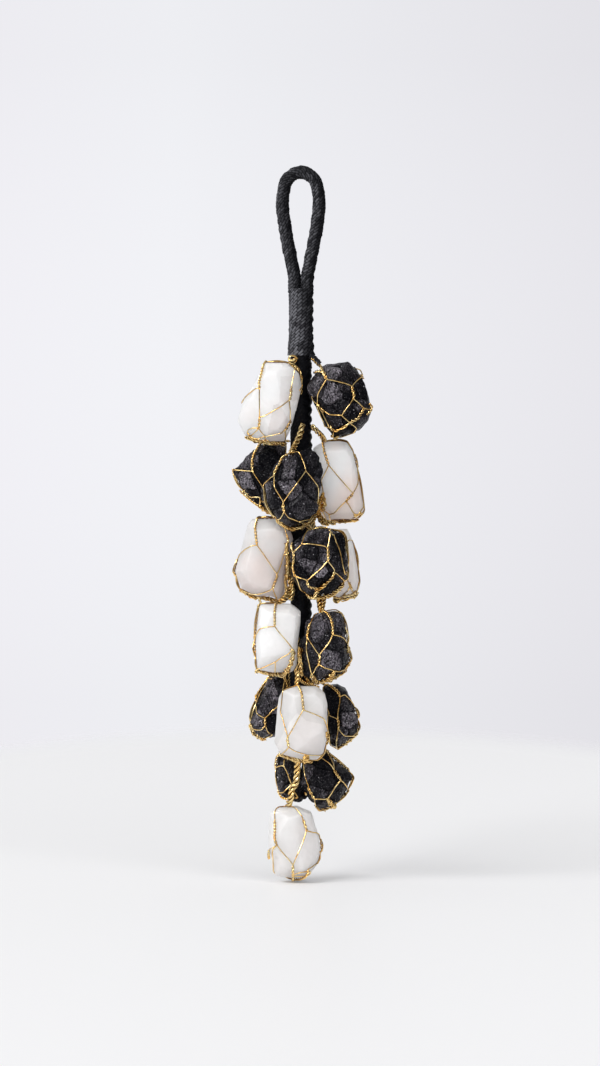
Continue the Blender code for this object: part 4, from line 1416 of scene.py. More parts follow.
@dataclass(frozen=True)
class Net:
    """A wire net: its joints, its wires and the ropes of ends that carry the stone.

    front and edge give each joint's place (x, z) seen from the front. A wire is two joint
    names with one of the MARKS between them. back names the edge joints that the upper
    and the lower end of the back cell join. proud lifts joints off a sharp corner. ropes
    are ropes of wire ends, as a radius and points (x, y, z); the first is the stem, which
    runs on to joint t. knots are small balls of wire and beads are drops of metal, as
    (x, z, radius).
    """

    front: Places
    edge: Places
    wires: str
    back: tuple[Sequence[str], Sequence[str]]
    proud: dict[str, float] = field(default_factory=dict)
    ropes: Sequence[tuple[float, Rows]] = ()
    details: Sequence[Detail] = ()
    knots: Rows = ()
    beads: Rows = ()
    JOINT_LIFT: ClassVar[float] = 0.5      # from the stone to a joint
    BACK_INSET: ClassVar[float] = 0.55     # how far in from the edge the back cell is
    PLACES: ClassVar[int] = 26             # points along a wire while it is pulled tight
    PULLS: ClassVar[int] = 140
    BOWS: ClassVar[tuple[float, float]] = (0.22, 0.12)
    STRAY_FROM: ClassVar[float] = 3.5      # the shortest wire with strays beside it
    STRAY_OUT: ClassVar[tuple[float, float]] = (0.2, 0.9)
    STRAY_ASIDE: ClassVar[float] = 1.3
    FINE: ClassVar[float] = 0.4            # from one point of a free wire to the next
    FORWARD: ClassVar[float] = 6.0         # how much a free wire's outward way leans forward
    ROPE_FACING: ClassVar[Place] = (0.35, -1.0, 0.1)
    KNOT_FACING: ClassVar[Place] = (0.1, -1.0, 0.1)

    def joints(self, skin: Skin) -> dict[str, Array]:
        """Every joint's place on the stone.

        Args:
            skin: The stone.

        Returns:
            The places by name.
        """
        places: dict[str, Array] = {}
        for name, (x, z) in {**self.front, **self.edge}.items():
            lift = self.JOINT_LIFT + self.proud.get(name, 0.0)
            if name in self.front:
                places[name] = skin.facing(x, z, lift)
            else:
                places[name] = skin.settle(np.array([x, skin.centre[1], z]), lift)
        for name, names in zip(("back_upper", "back_lower"), self.back):
            spot = np.mean([places[other] for other in names], axis=0)
            spot = spot + self.BACK_INSET * (skin.centre - spot)
            places[name] = skin.facing(spot[0], spot[2], self.JOINT_LIFT, BACK_SIDE)
        return places

    def taut(self, skin: Skin, starts: Array, ends: Array, lifts: Array) -> Array:
        """Pull wires tight over the stone.

        Each starts as a straight line. Again and again every point moves to the middle
        of its neighbours, and out to the stone's surface if it is too deep.

        Args:
            skin: The stone.
            starts: A start for each wire.
            ends: An end for each wire.
            lifts: How far above the stone each wire's middle runs.

        Returns:
            The wires' points, by wire and by place.
        """
        share = np.linspace(0.0, 1.0, self.PLACES)[None, :, None]
        wires = starts[:, None] * (1 - share) + ends[:, None] * share
        for _ in range(self.PULLS):
            inner = 0.5 * (wires[:, :-2] + wires[:, 2:])
            wires[:, 1:-1] = skin.push_out(inner, lifts[:, None])
        return wires

    def build(self, name: str, seed: int, skin: Skin, finishes: Finishes) -> None:
        """Make the net over its stone.

        Args:
            name: The stone's name.
            seed: What its small differences are drawn from.
            skin: The stone.
            finishes: The materials.
        """
        shop = WireShop(seed)
        places = self.joints(skin)
        upper, lower = self.back
        cell = [name + "-back_upper" for name in upper] + [name + "-back_lower" for name in lower]
        plan, beside = [], []
        for wire in self.wires.split() + cell + ["back_upper=back_lower"]:
            mark = next(mark for mark in MARKS if mark in wire)
            start, end = wire.split(mark)
            plan.append((places[start], places[end], MARKS[mark].value))
            beside.append(start in self.edge and end in self.edge)
        starts, ends, lays = zip(*plan)
        lifts = np.array([lay.lift for lay in lays])
        paths = self.taut(skin, np.array(starts), np.array(ends), lifts)
        paths = self.bow(skin, shop, paths, lifts)
        for path, lay, side in zip(paths, lays, beside):
            shop.lay(path, path - skin.centre, lay)
            if side and run_lengths(path)[-1] > self.STRAY_FROM:
                for _ in range(3 if lay.wraps else 2):
                    self.add_stray(skin, shop, path)
        self.add_ropes(shop, places["t"])
        self.add_details(skin, shop)
        piece = make_piece("gold_" + name, shop.shells, finishes.gold, "bright")
        put_in(piece, "net_" + name)

    def bow(self, skin: Skin, shop: WireShop, paths: Array, lifts: Array) -> Array:
        """Give each wire a slight bow sideways: a sin(pi t) + b sin(2 pi t), a and b random.

        Args:
            skin: The stone.
            shop: What makes the wires.
            paths: The wires.
            lifts: How far above the stone each runs.

        Returns:
            The bowed wires.
        """
        along = unit(np.gradient(paths, axis=1))
        side = np.cross(along, unit(paths - skin.centre))
        once, twice = (shop.draw.normal(size=(len(paths), 1, 1)) * most for most in self.BOWS)
        t = np.linspace(0.0, 1.0, paths.shape[1])[None, :, None]
        bent = paths + side * (once * np.sin(math.pi * t) + twice * np.sin(2 * math.pi * t))
        bent[:, 1:-1] = skin.push_out(bent[:, 1:-1], lifts[:, None])
        return bent

    def add_stray(self, skin: Skin, shop: WireShop, path: Array) -> None:
        """A loose wire beside one on the stone's side, bowed out and aside by sin(pi t).

        Args:
            skin: The stone.
            shop: What makes the wires.
            path: The wire that it lies beside.
        """
        outward = unit(path - skin.centre)
        side = np.cross(unit(np.gradient(path, axis=0)), outward)
        bow = np.sin(math.pi * np.linspace(0.0, 1.0, len(path)))[:, None]
        away = shop.draw.uniform(*self.STRAY_OUT) * outward
        away = away + shop.draw.uniform(-self.STRAY_ASIDE, self.STRAY_ASIDE) * side
        shop.lay(path + bow * away, outward, Strand.WIRE.value)

    def add_ropes(self, shop: WireShop, top: Array) -> None:
        """The stem, down to joint t, and the other ropes of wire ends.

        Args:
            shop: What makes the wires.
            top: The place of joint t.
        """
        for k, (radius, points) in enumerate(self.ropes):
            path = smooth_curve(points if k else [*points, tuple(top)], self.FINE)
            shop.rope(path, np.broadcast_to(self.ROPE_FACING, path.shape), radius)

    def add_details(self, skin: Skin, shop: WireShop) -> None:
        """Loose ends, coils, knots and beads.

        Args:
            skin: The stone.
            shop: What makes the wires.
        """
        for detail in self.details:
            lay = detail.kind.value
            x, z, lift = np.array([(*point, 0.0)[:3] for point in detail.points]).T
            line = smooth_curve(skin.facing(x, z, lay.lift + lift), self.FINE)
            line = skin.push_out(line, lay.lift)
            # The outward way, leaning forward, also sets the side of each wire that is painted
            # light gold; the far side is painted dark as shade.
            shop.lay(line, line - skin.centre + self.FORWARD * FRONT, lay)
        for x, z, radius in self.knots:
            shop.knot(skin.facing(x, z, self.JOINT_LIFT), np.array(self.KNOT_FACING), radius)
        for x, z, radius in self.beads:
            shop.bead(skin.facing(x, z, radius), radius)


def rows(text: str) -> Rows:
    """Rows of numbers: "1 2, 3 4" gives (1, 2) and (3, 4)."""
    return [tuple(map(float, row.split())) for row in text.split(",")]


def named(text: str) -> Places:
    """Rows of numbers by name: "a 1 2, b 3 4" gives a: (1, 2) and b: (3, 4)."""
    return {name: tuple(map(float, numbers)) for name, *numbers in map(str.split, text.split(","))}


def ropes(*texts: str) -> Sequence[tuple[float, Rows]]:
    """Ropes of wire ends, each as its radius and its points: "0.9, 1 2 3, 4 5 6"."""
    return [(radius, points) for (radius,), *points in map(rows, texts)]


def details(*texts: str) -> Sequence[Detail]:
    """Wires beside a net's own, each as one of the MARKS and its points."""
    return [Detail(MARKS[text[0]], rows(text[1:])) for text in texts]


# ---- the tables, from the top down ---------------------------------------------------------
WHITE, BLACK = Mineral.QUARTZ, Mineral.TOURMALINE
# A tourmaline face's tone is partly its powdery or glossy finish and partly painted light: faces
# that take the light are given grey, those in shade near black.
STONES: Sequence[Stone] = (
    # Its two right faces are painted darker than its left ones, a painted shade on the side turned
    # from the light.
    Stone("1_white_left", WHITE, 11, 1.05, rows(
        "-14.5 -96 0 1.1, -5.5 -97 0 0.6, -18.5 -110 0 1.1, -9.5 -112 0 0.45"), rosy_shade=0.3),
    Stone("1_black_right", BLACK, 12, 0.4, rows(
        "6.3 -95.9 0.7 0.52, 14.6 -88.7 0.6 0.82, 15.1 -99.5 0.3 0.66, 24.5 -100 -0.4 0.05, "
        "29.8 -97 0 0.1, 22.4 -88.7 0.1 0.25, 14.6 -110.2 -0.2 0.22, 23.9 -109.7 -0.3 0.03, "
        "29.5 -112.5 0 0.35, 20 -118 0 0.1"),
        bulges=rows("6 -95.5 1 3.5, 12.5 -86.5 0.9 3, 21.5 -86 0.9 2.6, 17.2 -86.5 -0.9 2")),
    Stone("2_black_left", BLACK, 21, 0.4, rows(
        "-14 -128 0.3 0, -24 -129.5 0.2 0.55, -25 -140.5 0.4 1.15, -18.6 -137.4 -0.3 0.1, "
        "-14 -147 0 0.7, -22 -149 -0.2 0.3, -11.5 -152 0 0.6")),
    Stone("2_black_middle", BLACK, 22, 0.35, rows(
        "-5.5 -133 0.3 0.5, -5 -142.5 0.2 0.62, 6 -129.5 0.3 0.2, 7.5 -142 -0.5 0.3, "
        "1.5 -151 0.8 0.3, -9 -157 -0.2 0.25, -11 -127 0 0.5")),
    Stone("2_white_right", WHITE, 23, 1.2, rosy_shade=1),
    Stone("3_white_left", WHITE, 31, 0.32, rosy_shade=0.5, bulges=rows("-8.2 -190.5 3.8 5")),
    Stone("3_black_middle", BLACK, 32, 0.35, rows(
        "4 -177.5 0.3 0.62, 8 -165 0 0.35, 5 -171.2 0 0.15, -2.5 -170 0 0.4, "
        "9.3 -180.4 0.2 0.8, 11.5 -185 -0.3 0.08, 2 -188 0 0.3, 17 -188 0 0.1, "
        "17.5 -167 0.7 0, 16 -177.5 -0.4 0.2, 20 -184 0.2 0.35")),
    Stone("3_white_right", WHITE, 33, 1.2, rosy_shade=0.7),
    Stone("4_white_left", WHITE, 41, 0.85, rosy_shade=0.1, bulges=rows("-4 -223.5 1.8 4.5")),
    Stone("4_black_right", BLACK, 42, 0.4, rows(
        "7 -207 0.3 0.6, 17 -204 0.2 0.5, 4 -219 0 0.3, 14.5 -221 0.3 0.78, "
        "15.8 -213.6 -0.2 0.25, 8.5 -229 0 0.5, 20.8 -220 0 0.2, 3 -227 0 0.25")),
    Stone("5_black_left", BLACK, 51, 0.4, rows(
        "-14.5 -235.5 0.3 0.75, -14.5 -243.5 0.2 0.6, -20 -250 0.2 0.75, -13.3 -252 -0.3 0.08, "
        "-18.8 -256.8 0 0.5"),
        bulges=rows("-6.2 -231 4 4.6, -6 -235 3.8 4.5, -5.8 -233.4 1.6 3")),
    Stone("5_white_middle", WHITE, 52, 0.28, rows(
        "-7.5 -240 0 0.36, 3 -238 0 0.2, -2.5 -255 0 0.5, 6 -256 0 0.48"), worn=1.4, rosy_shade=0.2),
    Stone("5_black_right", BLACK, 53, 0.35, rows(
        "15.2 -243 0 0.05, 17.5 -236 0.2 0.15, 22.4 -250.5 0.3 0.7, 21.8 -243 0 0.4, "
        "14.2 -252 -0.2 0.08, 20 -259.5 0 0.4")),
    Stone("6_black_left", BLACK, 61, 0.25, rows(
        "-7 -274 0.2 0.25, -10.6 -279.5 0.2 0.48, -2 -284 0 0.03, -8 -286 0 0.3, "
        "0.5 -275 0 0.15"), bulges=rows("0.4 -285.6 2.2 4, 1.2 -279.5 2 4")),
    Stone("6_black_right", BLACK, 62, 0.2, rows(
        "9.5 -278 0.3 0.15, 1.4 -276 0.1 0.65, 12 -268.5 -0.2 0.05, 19.5 -273.5 0.1 0.1, "
        "19 -284 0 0.2, 10 -290.4 0 0.3, 6.6 -284.6 0.1 0.4"),
        bulges=rows("19.5 -267 -2.6 5.5, 24.2 -277.7 1.2 2.6, 3.4 -281 3.4 4.6")),
    Stone("7_white_bottom", WHITE, 71, 0.44, worn=1.4, rosy_shade=0.1,
        bulges=rows("-9.5 -319 3.2 4.5, 1.5 -320 1.4 4, -12 -294 2.4 4, -12 -306.5 2.2 5, "
                    "5 -294.5 1.2 4")),
)

NETS: dict[str, Net] = {
    "1_white_left": Net(
        named("a1 -4.4 -96, a2 -5.4 -102, b1 -19 -109.8, b2 -19.5 -115, c2 -19 -96.5, "
              "d1 -4.8 -111.5, d2 -7.3 -115.6, e -16.3 -118.8"),
        named("t -5.6 -85, r1 -0.2 -91.5, r2 -0.6 -99.5, l1 -15.8 -85.2, g -27 -103.5, "
              "f -25 -118.3, k -17.5 -121.5, h -7.8 -121"),
        "t=r1 r1=r2 t-a1 a1=a2 a2-b1 a2-d1 d1=d2 t-l1 l1=c2 c2-b1 c2-g b1=b2 b2-f b2-e e-d2"
        " d2-h f#k k#h e-k",
        (("g", "l1"), ("f", "h")), ropes=ropes("0.9, -1.6 -6.2 -82.8"),
        details=details(
            "- -4.6 -84.6, -1.2 -88.4, 0.6 -92.5, -0.6 -97.8",
            "- -19.6 -115, -22.2 -114.9 0.5, -24.6 -116.4 0.6, -23.6 -118.6 0.6, "
            "-20.6 -119.8 0.4, -16.6 -118.8",
            "= -24.4 -117.4 0.4, -22.4 -119.8 0.4, -18.4 -120.8 0.3, -14.6 -120.9"),
        knots=rows("-3.8 -83.2 1.9")),
    "1_black_right": Net(
        named("a 11.7 -92.4, b1 23.6 -95.7, b2 24 -101.4, c1 7.6 -103.8, c2 10.9 -107, "
              "g 18.8 -108.9, f1 29 -105.8, h 22.4 -112.3, m 15.4 -116, n 25.6 -115.2, "
              "q 12.6 -113.2"),
        named("t 9.6 -87.5, e 28.6 -91.7, o 32.6 -106.5, p 15 -119.3"),
        "t=a a-b1 a-c1 b1=b2 b1-e b2-g b2-f1 f1=h c1:c2 c2-g g-h c1-q h:m h-n n-p f1-o q=m m-p",
        (("t", "e"), ("o", "p")), {"h": 0.3, "m": 0.3}, ropes=ropes("0.9, 4.9 -4.4 -82.6"),
        details=details(
            "= 6 -89.6 0.2, 8 -88.7 0.3, 10.6 -89.4 0.2, 11.7 -91.6",
            "@ 28 -90.4, 28.8 -92.4",
            "- 25.4 -87.6 0.3, 27.4 -88.4 0.5, 28.4 -90.4 0.2",
            "= 31.6 -103.6 0.5, 32.6 -105.4 0.6, 31.8 -107.4 0.6, 30.4 -108.6 0.4",
            "- 5 -100.4, 5.6 -102.2 0.4, 7.4 -103.8",
            "- 7.4 -105 0.2, 9.4 -110.2 0.4, 12.2 -115",
            "@ 14.2 -118.9, 17.2 -118.6")),
    "2_black_left": Net(
        named("a -22.3 -135.2, c -16.5 -145, d -19 -147.2"),
        named("t -12 -122.4, s -18.6 -123.5, b -30.8 -135.6, e -26.5 -143.8, f -19.5 -150.7, "
              "k -12.8 -154.8"),
        "t-s s=a a-b a-c b-e e-d e=f d-f c-k f#k",
        (("t", "b"), ("e", "k")), ropes=ropes("0.7, -5.2 2 -121.4, -8 4.5 -121.3"),
        details=details(
            "@ -31.4 -134.4, -31 -137.2",
            "= -28.4 -144.3 0.2, -24.6 -147.8 0.2, -19.4 -151.6 0.2, -14.2 -155.2",
            "- -15.5 -147.8 0.3, -18.4 -148.9 0.4, -18.8 -151 0.4, -16.4 -152.4",
            "- -7.4 -121.2 0.3, -6.8 -124 0.4, -7.1 -127.2")),
    "2_black_middle": Net(
        named("t -4.4 -126.2, a 2.3 -134.3, l1 -10 -131.8, l2 -12.2 -136.6, c1 -8 -148.4, "
              "c2 -7.7 -153, f -0.8 -157.6, b 7.8 -141.5"),
        named("m -16.6 -140.8, e -11.8 -156.8, g 7.2 -151.5, h 2.6 -158.2"),
        "t-a a-b a-c1 t=l1 l1=l2 l2-m l2-c1 c1=c2 c2-e c2-f f-g b-g m-e e#h f-h g-h",
        (("t", "m"), ("e", "g")),
        ropes=ropes(
            "1.5, 0.8 -6.6 -113, -0.4 -6.8 -118, -2.6 -9.5 -122.8"),
        details=details(
            "@ -8.3 -150.2, -7.4 -152.8")),
    "2_white_right": Net(
        named("a 12.8 -132.2, c 24 -145.2, d 20.8 -149, e 13 -155.2, f 25 -155, g 11.3 -149.3, "
              "b 9.3 -139.5, j 9.3 -152.4"),
        named("t 11 -121.8, r1 24.4 -128, r2 25.6 -134, s 29.2 -152.5, k 14 -157.9, "
              "n 26 -157.2"),
        "t=a t-r1 r1=r2 r2-c r2-s a-c a-b c=d d-e d-f s-f e-k k#n f-n s-n b-g g=j j-k j-e",
        (("t", "r2"), ("s", "k")), {"f": 0.5, "n": 0.3},
        ropes=ropes(
            "1.35, 4.9 -4.2 -114, 7.4 -3.5 -116.6, 9.8 0 -119.2",
            "1.2, 8.8 -5 -148, 8.2 -6 -154.5, 9.6 -6 -158.6, 13 -5.5 -159.6",
            "1, 7.6 -6.5 -153.5, 9.8 -7 -156.6, 11.6 -7 -158.2, 16 -6.6 -159.4",
            "0.9, 10.4 -4.6 -145, 9 -5.6 -149, 6.8 -7 -156, 4.2 -7.6 -159.8",
            "1.1, 6.8 -3 -152, 5.6 -4.6 -157.4, 6.4 -5.2 -161.4, 9.6 -5.6 -163.6"),
        details=details(
            "@ 24.4 -155.6, 27.8 -154.6",
            "# 9.4 -146.6 0.4, 10.8 -150.2 0.4, 9.4 -153.6 0.4",
            "- 29 -150 0.2, 27.4 -154.2 0.2, 24 -157")),
    "3_white_left": Net(
        named("a -20.2 -168.7, b -11 -182.3, b2 -13 -188.6, r -7.2 -171.5, u -6.5 -164.5"),
        named("t -13 -157.3, s -18.5 -157.5, l1 -29 -176, l2 -29.6 -183, m -27.5 -189.2, "
              "n -19.5 -192.8, e -11.5 -192.5"),
        "t=s s=a a-b a-l1 l1=l2 b-r b=b2 b2-m b2-e l2-m m#n n#e t-u u=r",
        (("s", "l1"), ("m", "e")), {"m": 0.6},
        ropes=ropes(
            "0.8, -5.3 0.9 -155.6, -9 -2.4 -155.4",
            "1.3, -6.3 -8 -174, -6 -9 -180, -5 -8.5 -186, -3.9 -7.5 -190, -4.8 -7 -194.6",
            "1, -3.6 -7.5 -181.6, -4 -8.5 -186, -6 -8 -190.4, -8.2 -8.5 -194",
            "0.9, -7.4 -8.5 -183, -6.8 -9.4 -188, -7.2 -9 -192, -10.4 -8.5 -195.4",
            "1.1, -5.1 -2 -166, -5.2 -3.4 -172, -5.1 -3.8 -178, -5.4 -4 -185"),
        details=details(
            "# -6.4 -168 0.8, -6.2 -176 0.8, -6.6 -184.6 0.4",
            "@ -28.4 -190.2, -25.8 -191.6",
            "= -19.8 -193, -18.6 -196.2")),
    "3_black_middle": Net(
        named("a1 12.3 -169.8, a2 12.4 -175.4, c 0.4 -167.9, e 3.1 -184.4, f 15.4 -180.7, "
              "g 11.2 -186, i 7.8 -188.4, d -3.2 -176, k -2.4 -182.5"),
        named("t 5 -161.8, p 12.3 -161.2, w 20.8 -178, h 19.8 -186, j 3.8 -192"),
        "t=p p-a1 p-w c-a1 c-d c-t a1=a2 a2-e a2-f f=g f-h g#i e=i d=k k-e k-j i#j h#j w-h",
        (("t", "w"), ("h", "j")), ropes=ropes("1, 1.6 -6.6 -158, 2.6 -9.5 -159.4"),
        details=details(
            "@ 2.4 -191.4, 4.8 -192.2",
            "- 13 -161.4 0.6, 17.4 -169.6 0.7, 19.4 -178.2 0.6, 20.4 -182 0.4",
            "= -4 -167.4, -3.4 -172, -3.4 -176.4")),
    "3_white_right": Net(
        named("a 20.6 -169, b 20.4 -181, c 22.6 -188.6"),
        named("r 24.2 -169.5, s 26.4 -181, e 25.8 -191.5, k 16.5 -193.6, t 11.2 -184"),
        "t-a a-r a-b b-c c-k c-e r-s s-e k#e t-k",
        (("t", "r"), ("k", "e")), ropes=ropes("0.7, 5.3 1.6 -182"),
        details=details(
            "@ 22.4 -186.8, 23.6 -189.6",
            "= 25.6 -190.6 0.2, 23.4 -192.6 0.3, 19.4 -193.2 0.3"),
        knots=rows("16.6 -195.2 1.5")),
    "4_white_left": Net(
        named("a -12 -206, e -11.8 -222.6, c -3.7 -216.5, r -5.6 -225.6"),
        named("t -11 -196.6, l -18.6 -196.6, b -20.8 -213.2, m -20.5 -220, n -20 -226.2, "
              "d -11.5 -227.7"),
        "t=a a-b a-c t-l l=b b=m m-n m-e c#r c-e e-d n#d d#r",
        (("l", "b"), ("n", "d")), {"c": 0.6, "r": 0.5},
        ropes=ropes(
            "1.1, -4.4 -4.4 -184.5, -4.6 -6.2 -190, -7 -8.4 -194.2"),
        details=details(
            "- -20.8 -226.8 0.3, -21.2 -228.2 0.3, -18.8 -227.6")),
    "4_black_right": Net(
        named("a 14.6 -209.8, b1 8.5 -219.2, b2 8.5 -223.7, d 5 -228.4, e 15.4 -226.4, "
              "l0 4.4 -205, l1 2.9 -210.5"),
        named("t 9.2 -200.2, c1 21.4 -216, c2 21.6 -224.5, r 19.5 -201, f 9 -231"),
        "t=a a-b1 a-c1 t-l0 l0=l1 l1-b1 l1-d b1=b2 b2-d b2-e c1=c2 e-c2 e#f t-r r-c1 c2#f d#f",
        (("r", "c1"), ("c2", "f")), {"e": 0.5},
        ropes=ropes(
            "1.2, 6.8 -2.5 -190, 8.2 -4.8 -194.6",
            "1.3, 7.8 -9 -190.4, 8.8 -8.5 -194, 8.6 -8.5 -198.6",
            "1, 10.6 -8 -190.8, 10.8 -8.6 -194.6, 9.8 -8.6 -199.4",
            "1.4, -1.8 -7 -211, -1.6 -8.5 -219, -1.4 -9.5 -225, -0.8 -9.6 -231.5",
            "1, -0.4 -9 -218, 0.8 -9.5 -225, 2.6 -9 -230.5, 5.8 -8.5 -233.6",
            "0.9, -2.6 -8.6 -224, -1.8 -9.6 -229, 1.4 -9.6 -232.6, 8.4 -9 -235"),
        details=details(
            "- 20.4 -206.6 0.6, 22.2 -211.6 1.2, 21.4 -215.6 0.3",
            "@ 21.6 -215.8, 21.8 -218.6",
            "# -0.6 -216 0.6, -0.4 -222.4 0.8, 0.6 -229 0.6")),
    "5_black_left": Net(
        named("a1 -16.6 -249.6, a2 -16.4 -253.2, r -11 -244.5, b -13.2 -257.6"),
        named("t -9.2 -230.8, l0 -12.8 -231.2, l1 -20.4 -242, l2 -23.4 -253, k -17.5 -260"),
        "t=l0 l0=l1 l1-a1 l1-l2 a1-r t-r a1=a2 a2-l2 a2-b l2#k k-b",
        (("l0", "l1"), ("l2", "k")),
        ropes=ropes(
            "0.7, -3.9 4.1 -229.2, -6.2 5.4 -228.9",
            "0.9, -4.8 2.5 -226.5, -5.3 1.6 -231, -5.2 1.2 -236.5"),
        details=details(
            "@ -18.8 -260.2, -16.2 -260.4",
            "= -8.2 -230.6 0.6, -6.6 -233 0.8, -6.4 -237.4 0.6",
            "- -13.4 -231.6 0.5, -17.6 -236.4 0.9, -21 -243.6 0.6, -23.4 -251 0.5")),
    "5_white_middle": Net(
        named("a 1.2 -244, b1 -6 -256.5, b2 -5.6 -261.2, e 2.7 -265, l -9.4 -245.5"),
        named("t -2 -233.7, c1 12 -255.8, c2 11.2 -260.2, d -9.4 -264.7, g 4.5 -267.4"),
        "t=a a-b1 a-c1 t-l l-b1 b1=b2 b2-d b2-e c1=c2 c2-e c2-g d#g e-g",
        (("t", "c1"), ("d", "g")),
        ropes=ropes(
            "1.2, -1.3 -17.6 -226.8, -1.6 -17.2 -230.2",
            "1.1, -9.8 -13 -264, -5 -15.8 -265.6, 2.8 -16.4 -267",
            "0.9, -8.6 -13.8 -265.8, -3 -16.8 -267.2, 3.4 -16.2 -267.9"),
        details=details(
            "@ 11.6 -254.6, 11.8 -257.2"), knots=rows("2.4 -266.4 1.3")),
    "5_black_right": Net(
        named("a 18.2 -239.9, b1 17.2 -250.3, b2 17.4 -254.2, l 13.2 -247.8, e 13.2 -257.4"),
        named("t 12 -235.6, r1 24 -246, r2 26.5 -251, c 26 -257, d 17 -263.8"),
        "t=a a-b1 a-r1 l-b1 t-l b1=b2 b2-c b2-d r1=r2 r2-c e-d l-e c#d",
        (("t", "r1"), ("c", "d")), {"d": 0.6}, ropes=ropes("0.7, 3.9 4.1 -232.6, 8 5 -233.2"),
        details=details(
            "@ 26 -247.2, 26.8 -250.2",
            "- 26.8 -251.4 0.8, 27.6 -254.4 1.2, 26.2 -257 0.4")),
    "6_black_left": Net(
        named("a -7.9 -271.6, b -4.3 -280, m -1.4 -286.2, k -6 -286.9"),
        named("t -6 -267.2, l0 -9.8 -267, l1 -11 -274, l2 -10 -282.6"),
        "t=l0 l0=l1 l1-a t-a a-b l1-l2 l2-b b-m l2=k k-m",
        (("t", "l1"), ("l2",)), {"l2": 0.5},
        ropes=ropes(
            "0.8, -2.6 -1 -238.4, -3.6 -2 -250, -4.4 -1 -263")),
    "6_black_right": Net(
        named("a1 15.4 -273.6, a2 18.4 -278.1, l1 3.6 -281, l2 6.6 -286.8, b 12.3 -286.8"),
        named("t 3.6 -267.7, s 11 -265.1, r1 22.6 -275, r2 21.2 -283, q 15.8 -290.2, "
              "p 7 -290.8"),
        "t-a1 t-l1 t-s s-a1 s=r1 a1=a2 a2-r2 a2-b l1=l2 l2-b l2-p r1-r2 r2=q b#q p#q",
        (("s", "r1"), ("q", "p")), {"s": 0.6, "b": 0.7, "q": 0.3},
        ropes=ropes(
            "0.8, 2.6 -1 -238.4, 3.2 -2.6 -250, 3.4 -0.5 -263.5"),
        details=details(
            "@ 10.4 -264.4, 12.8 -265.8"), beads=rows("2.2 -284.4 0.85")),
    "7_white_bottom": Net(
        named("l0 -12 -296, l1 -11 -307, a1 -3.6 -316.4, r0 1 -295.8, r1 2.6 -300.8, "
              "x -13.2 -310.5, z 3.4 -318.6"),
        named("t -5.8 -290.8, s1 8.8 -305.8, s2 8.9 -311, y -8.5 -320.4, a2 -3.8 -321.8"),
        "t-l0 l0=l1 l1-a1 l1-x t-r0 r0=r1 r1-a1 r1-s1 s1=s2 s2-z a1=a2 a2=z a2-y x-y",
        (("t", "s1"), ("y", "s2")), {"a2": 0.7},
        ropes=ropes(
            "1.65, -1.5 -15.6 -268.8, -1.8 -13.6 -274, -2.3 -12.6 -279, -3.9 -12 -281.4, "
            "-4.6 -11 -285.4"),
        details=details(
            "- -11.2 -307.1, -13.2 -308.4 0.3, -14.9 -310 0.3, -15 -311.2 0.2",
            "= -14.9 -310.4, -15 -312.2 0.2, -14.8 -314.8",
            "- -4 -321.2 0.3, 0.6 -319.8 0.4, 4.4 -319.8 0.4, 3.4 -321.6 0.3, -0.6 -322 0.3, "
            "-4.2 -321.8 0.3",
            "- 8.8 -310.8 0.2, 9 -314.4 0.4, 7.8 -316.4 0.4")),
}


@dataclass
class Cluster:
    """The stones in their nets."""

    finishes: Finishes
    stones: Sequence[Stone] = STONES
    nets: Mapping[str, Net] = field(default_factory=lambda: NETS)
    cells: int = 48
    net_seed: int = 100            # from a stone's seed to its net's

    def build(self) -> None:
        """Grow each stone and lay its net over it."""
        grid = SphereGrid(self.cells)
        for stone in self.stones:
            skin = stone.build(grid, self.finishes)
            seed = stone.seed + self.net_seed
            self.nets[stone.name].build(stone.name, seed, skin, self.finishes)


# ---- studio --------------------------------------------------------------------------------
@dataclass(frozen=True)
class Lamp:
    """A wide soft light: its place and size in metres, its power in watts."""

    name: str
    place: Place
    width: float
    height: float
    power: float
    mirrored: bool = True

    def hang(self, aim: Vector) -> None:
        """Hang it so that it looks at the aim, unseen by the camera.

        Args:
            aim: What it looks at.
        """
        data = bpy.data.lights.new(self.name, "AREA")
        data.shape = "RECTANGLE"
        data.size, data.size_y, data.energy = self.width, self.height, self.power
        light = bpy.data.objects.new(self.name, data)
        bpy.context.scene.collection.objects.link(light)
        light.location = self.place
        light.visible_glossy = self.mirrored
        light.visible_camera = False
        way = aim - Vector(self.place)
        light.rotation_euler = way.to_track_quat("-Z", "Y").to_euler()


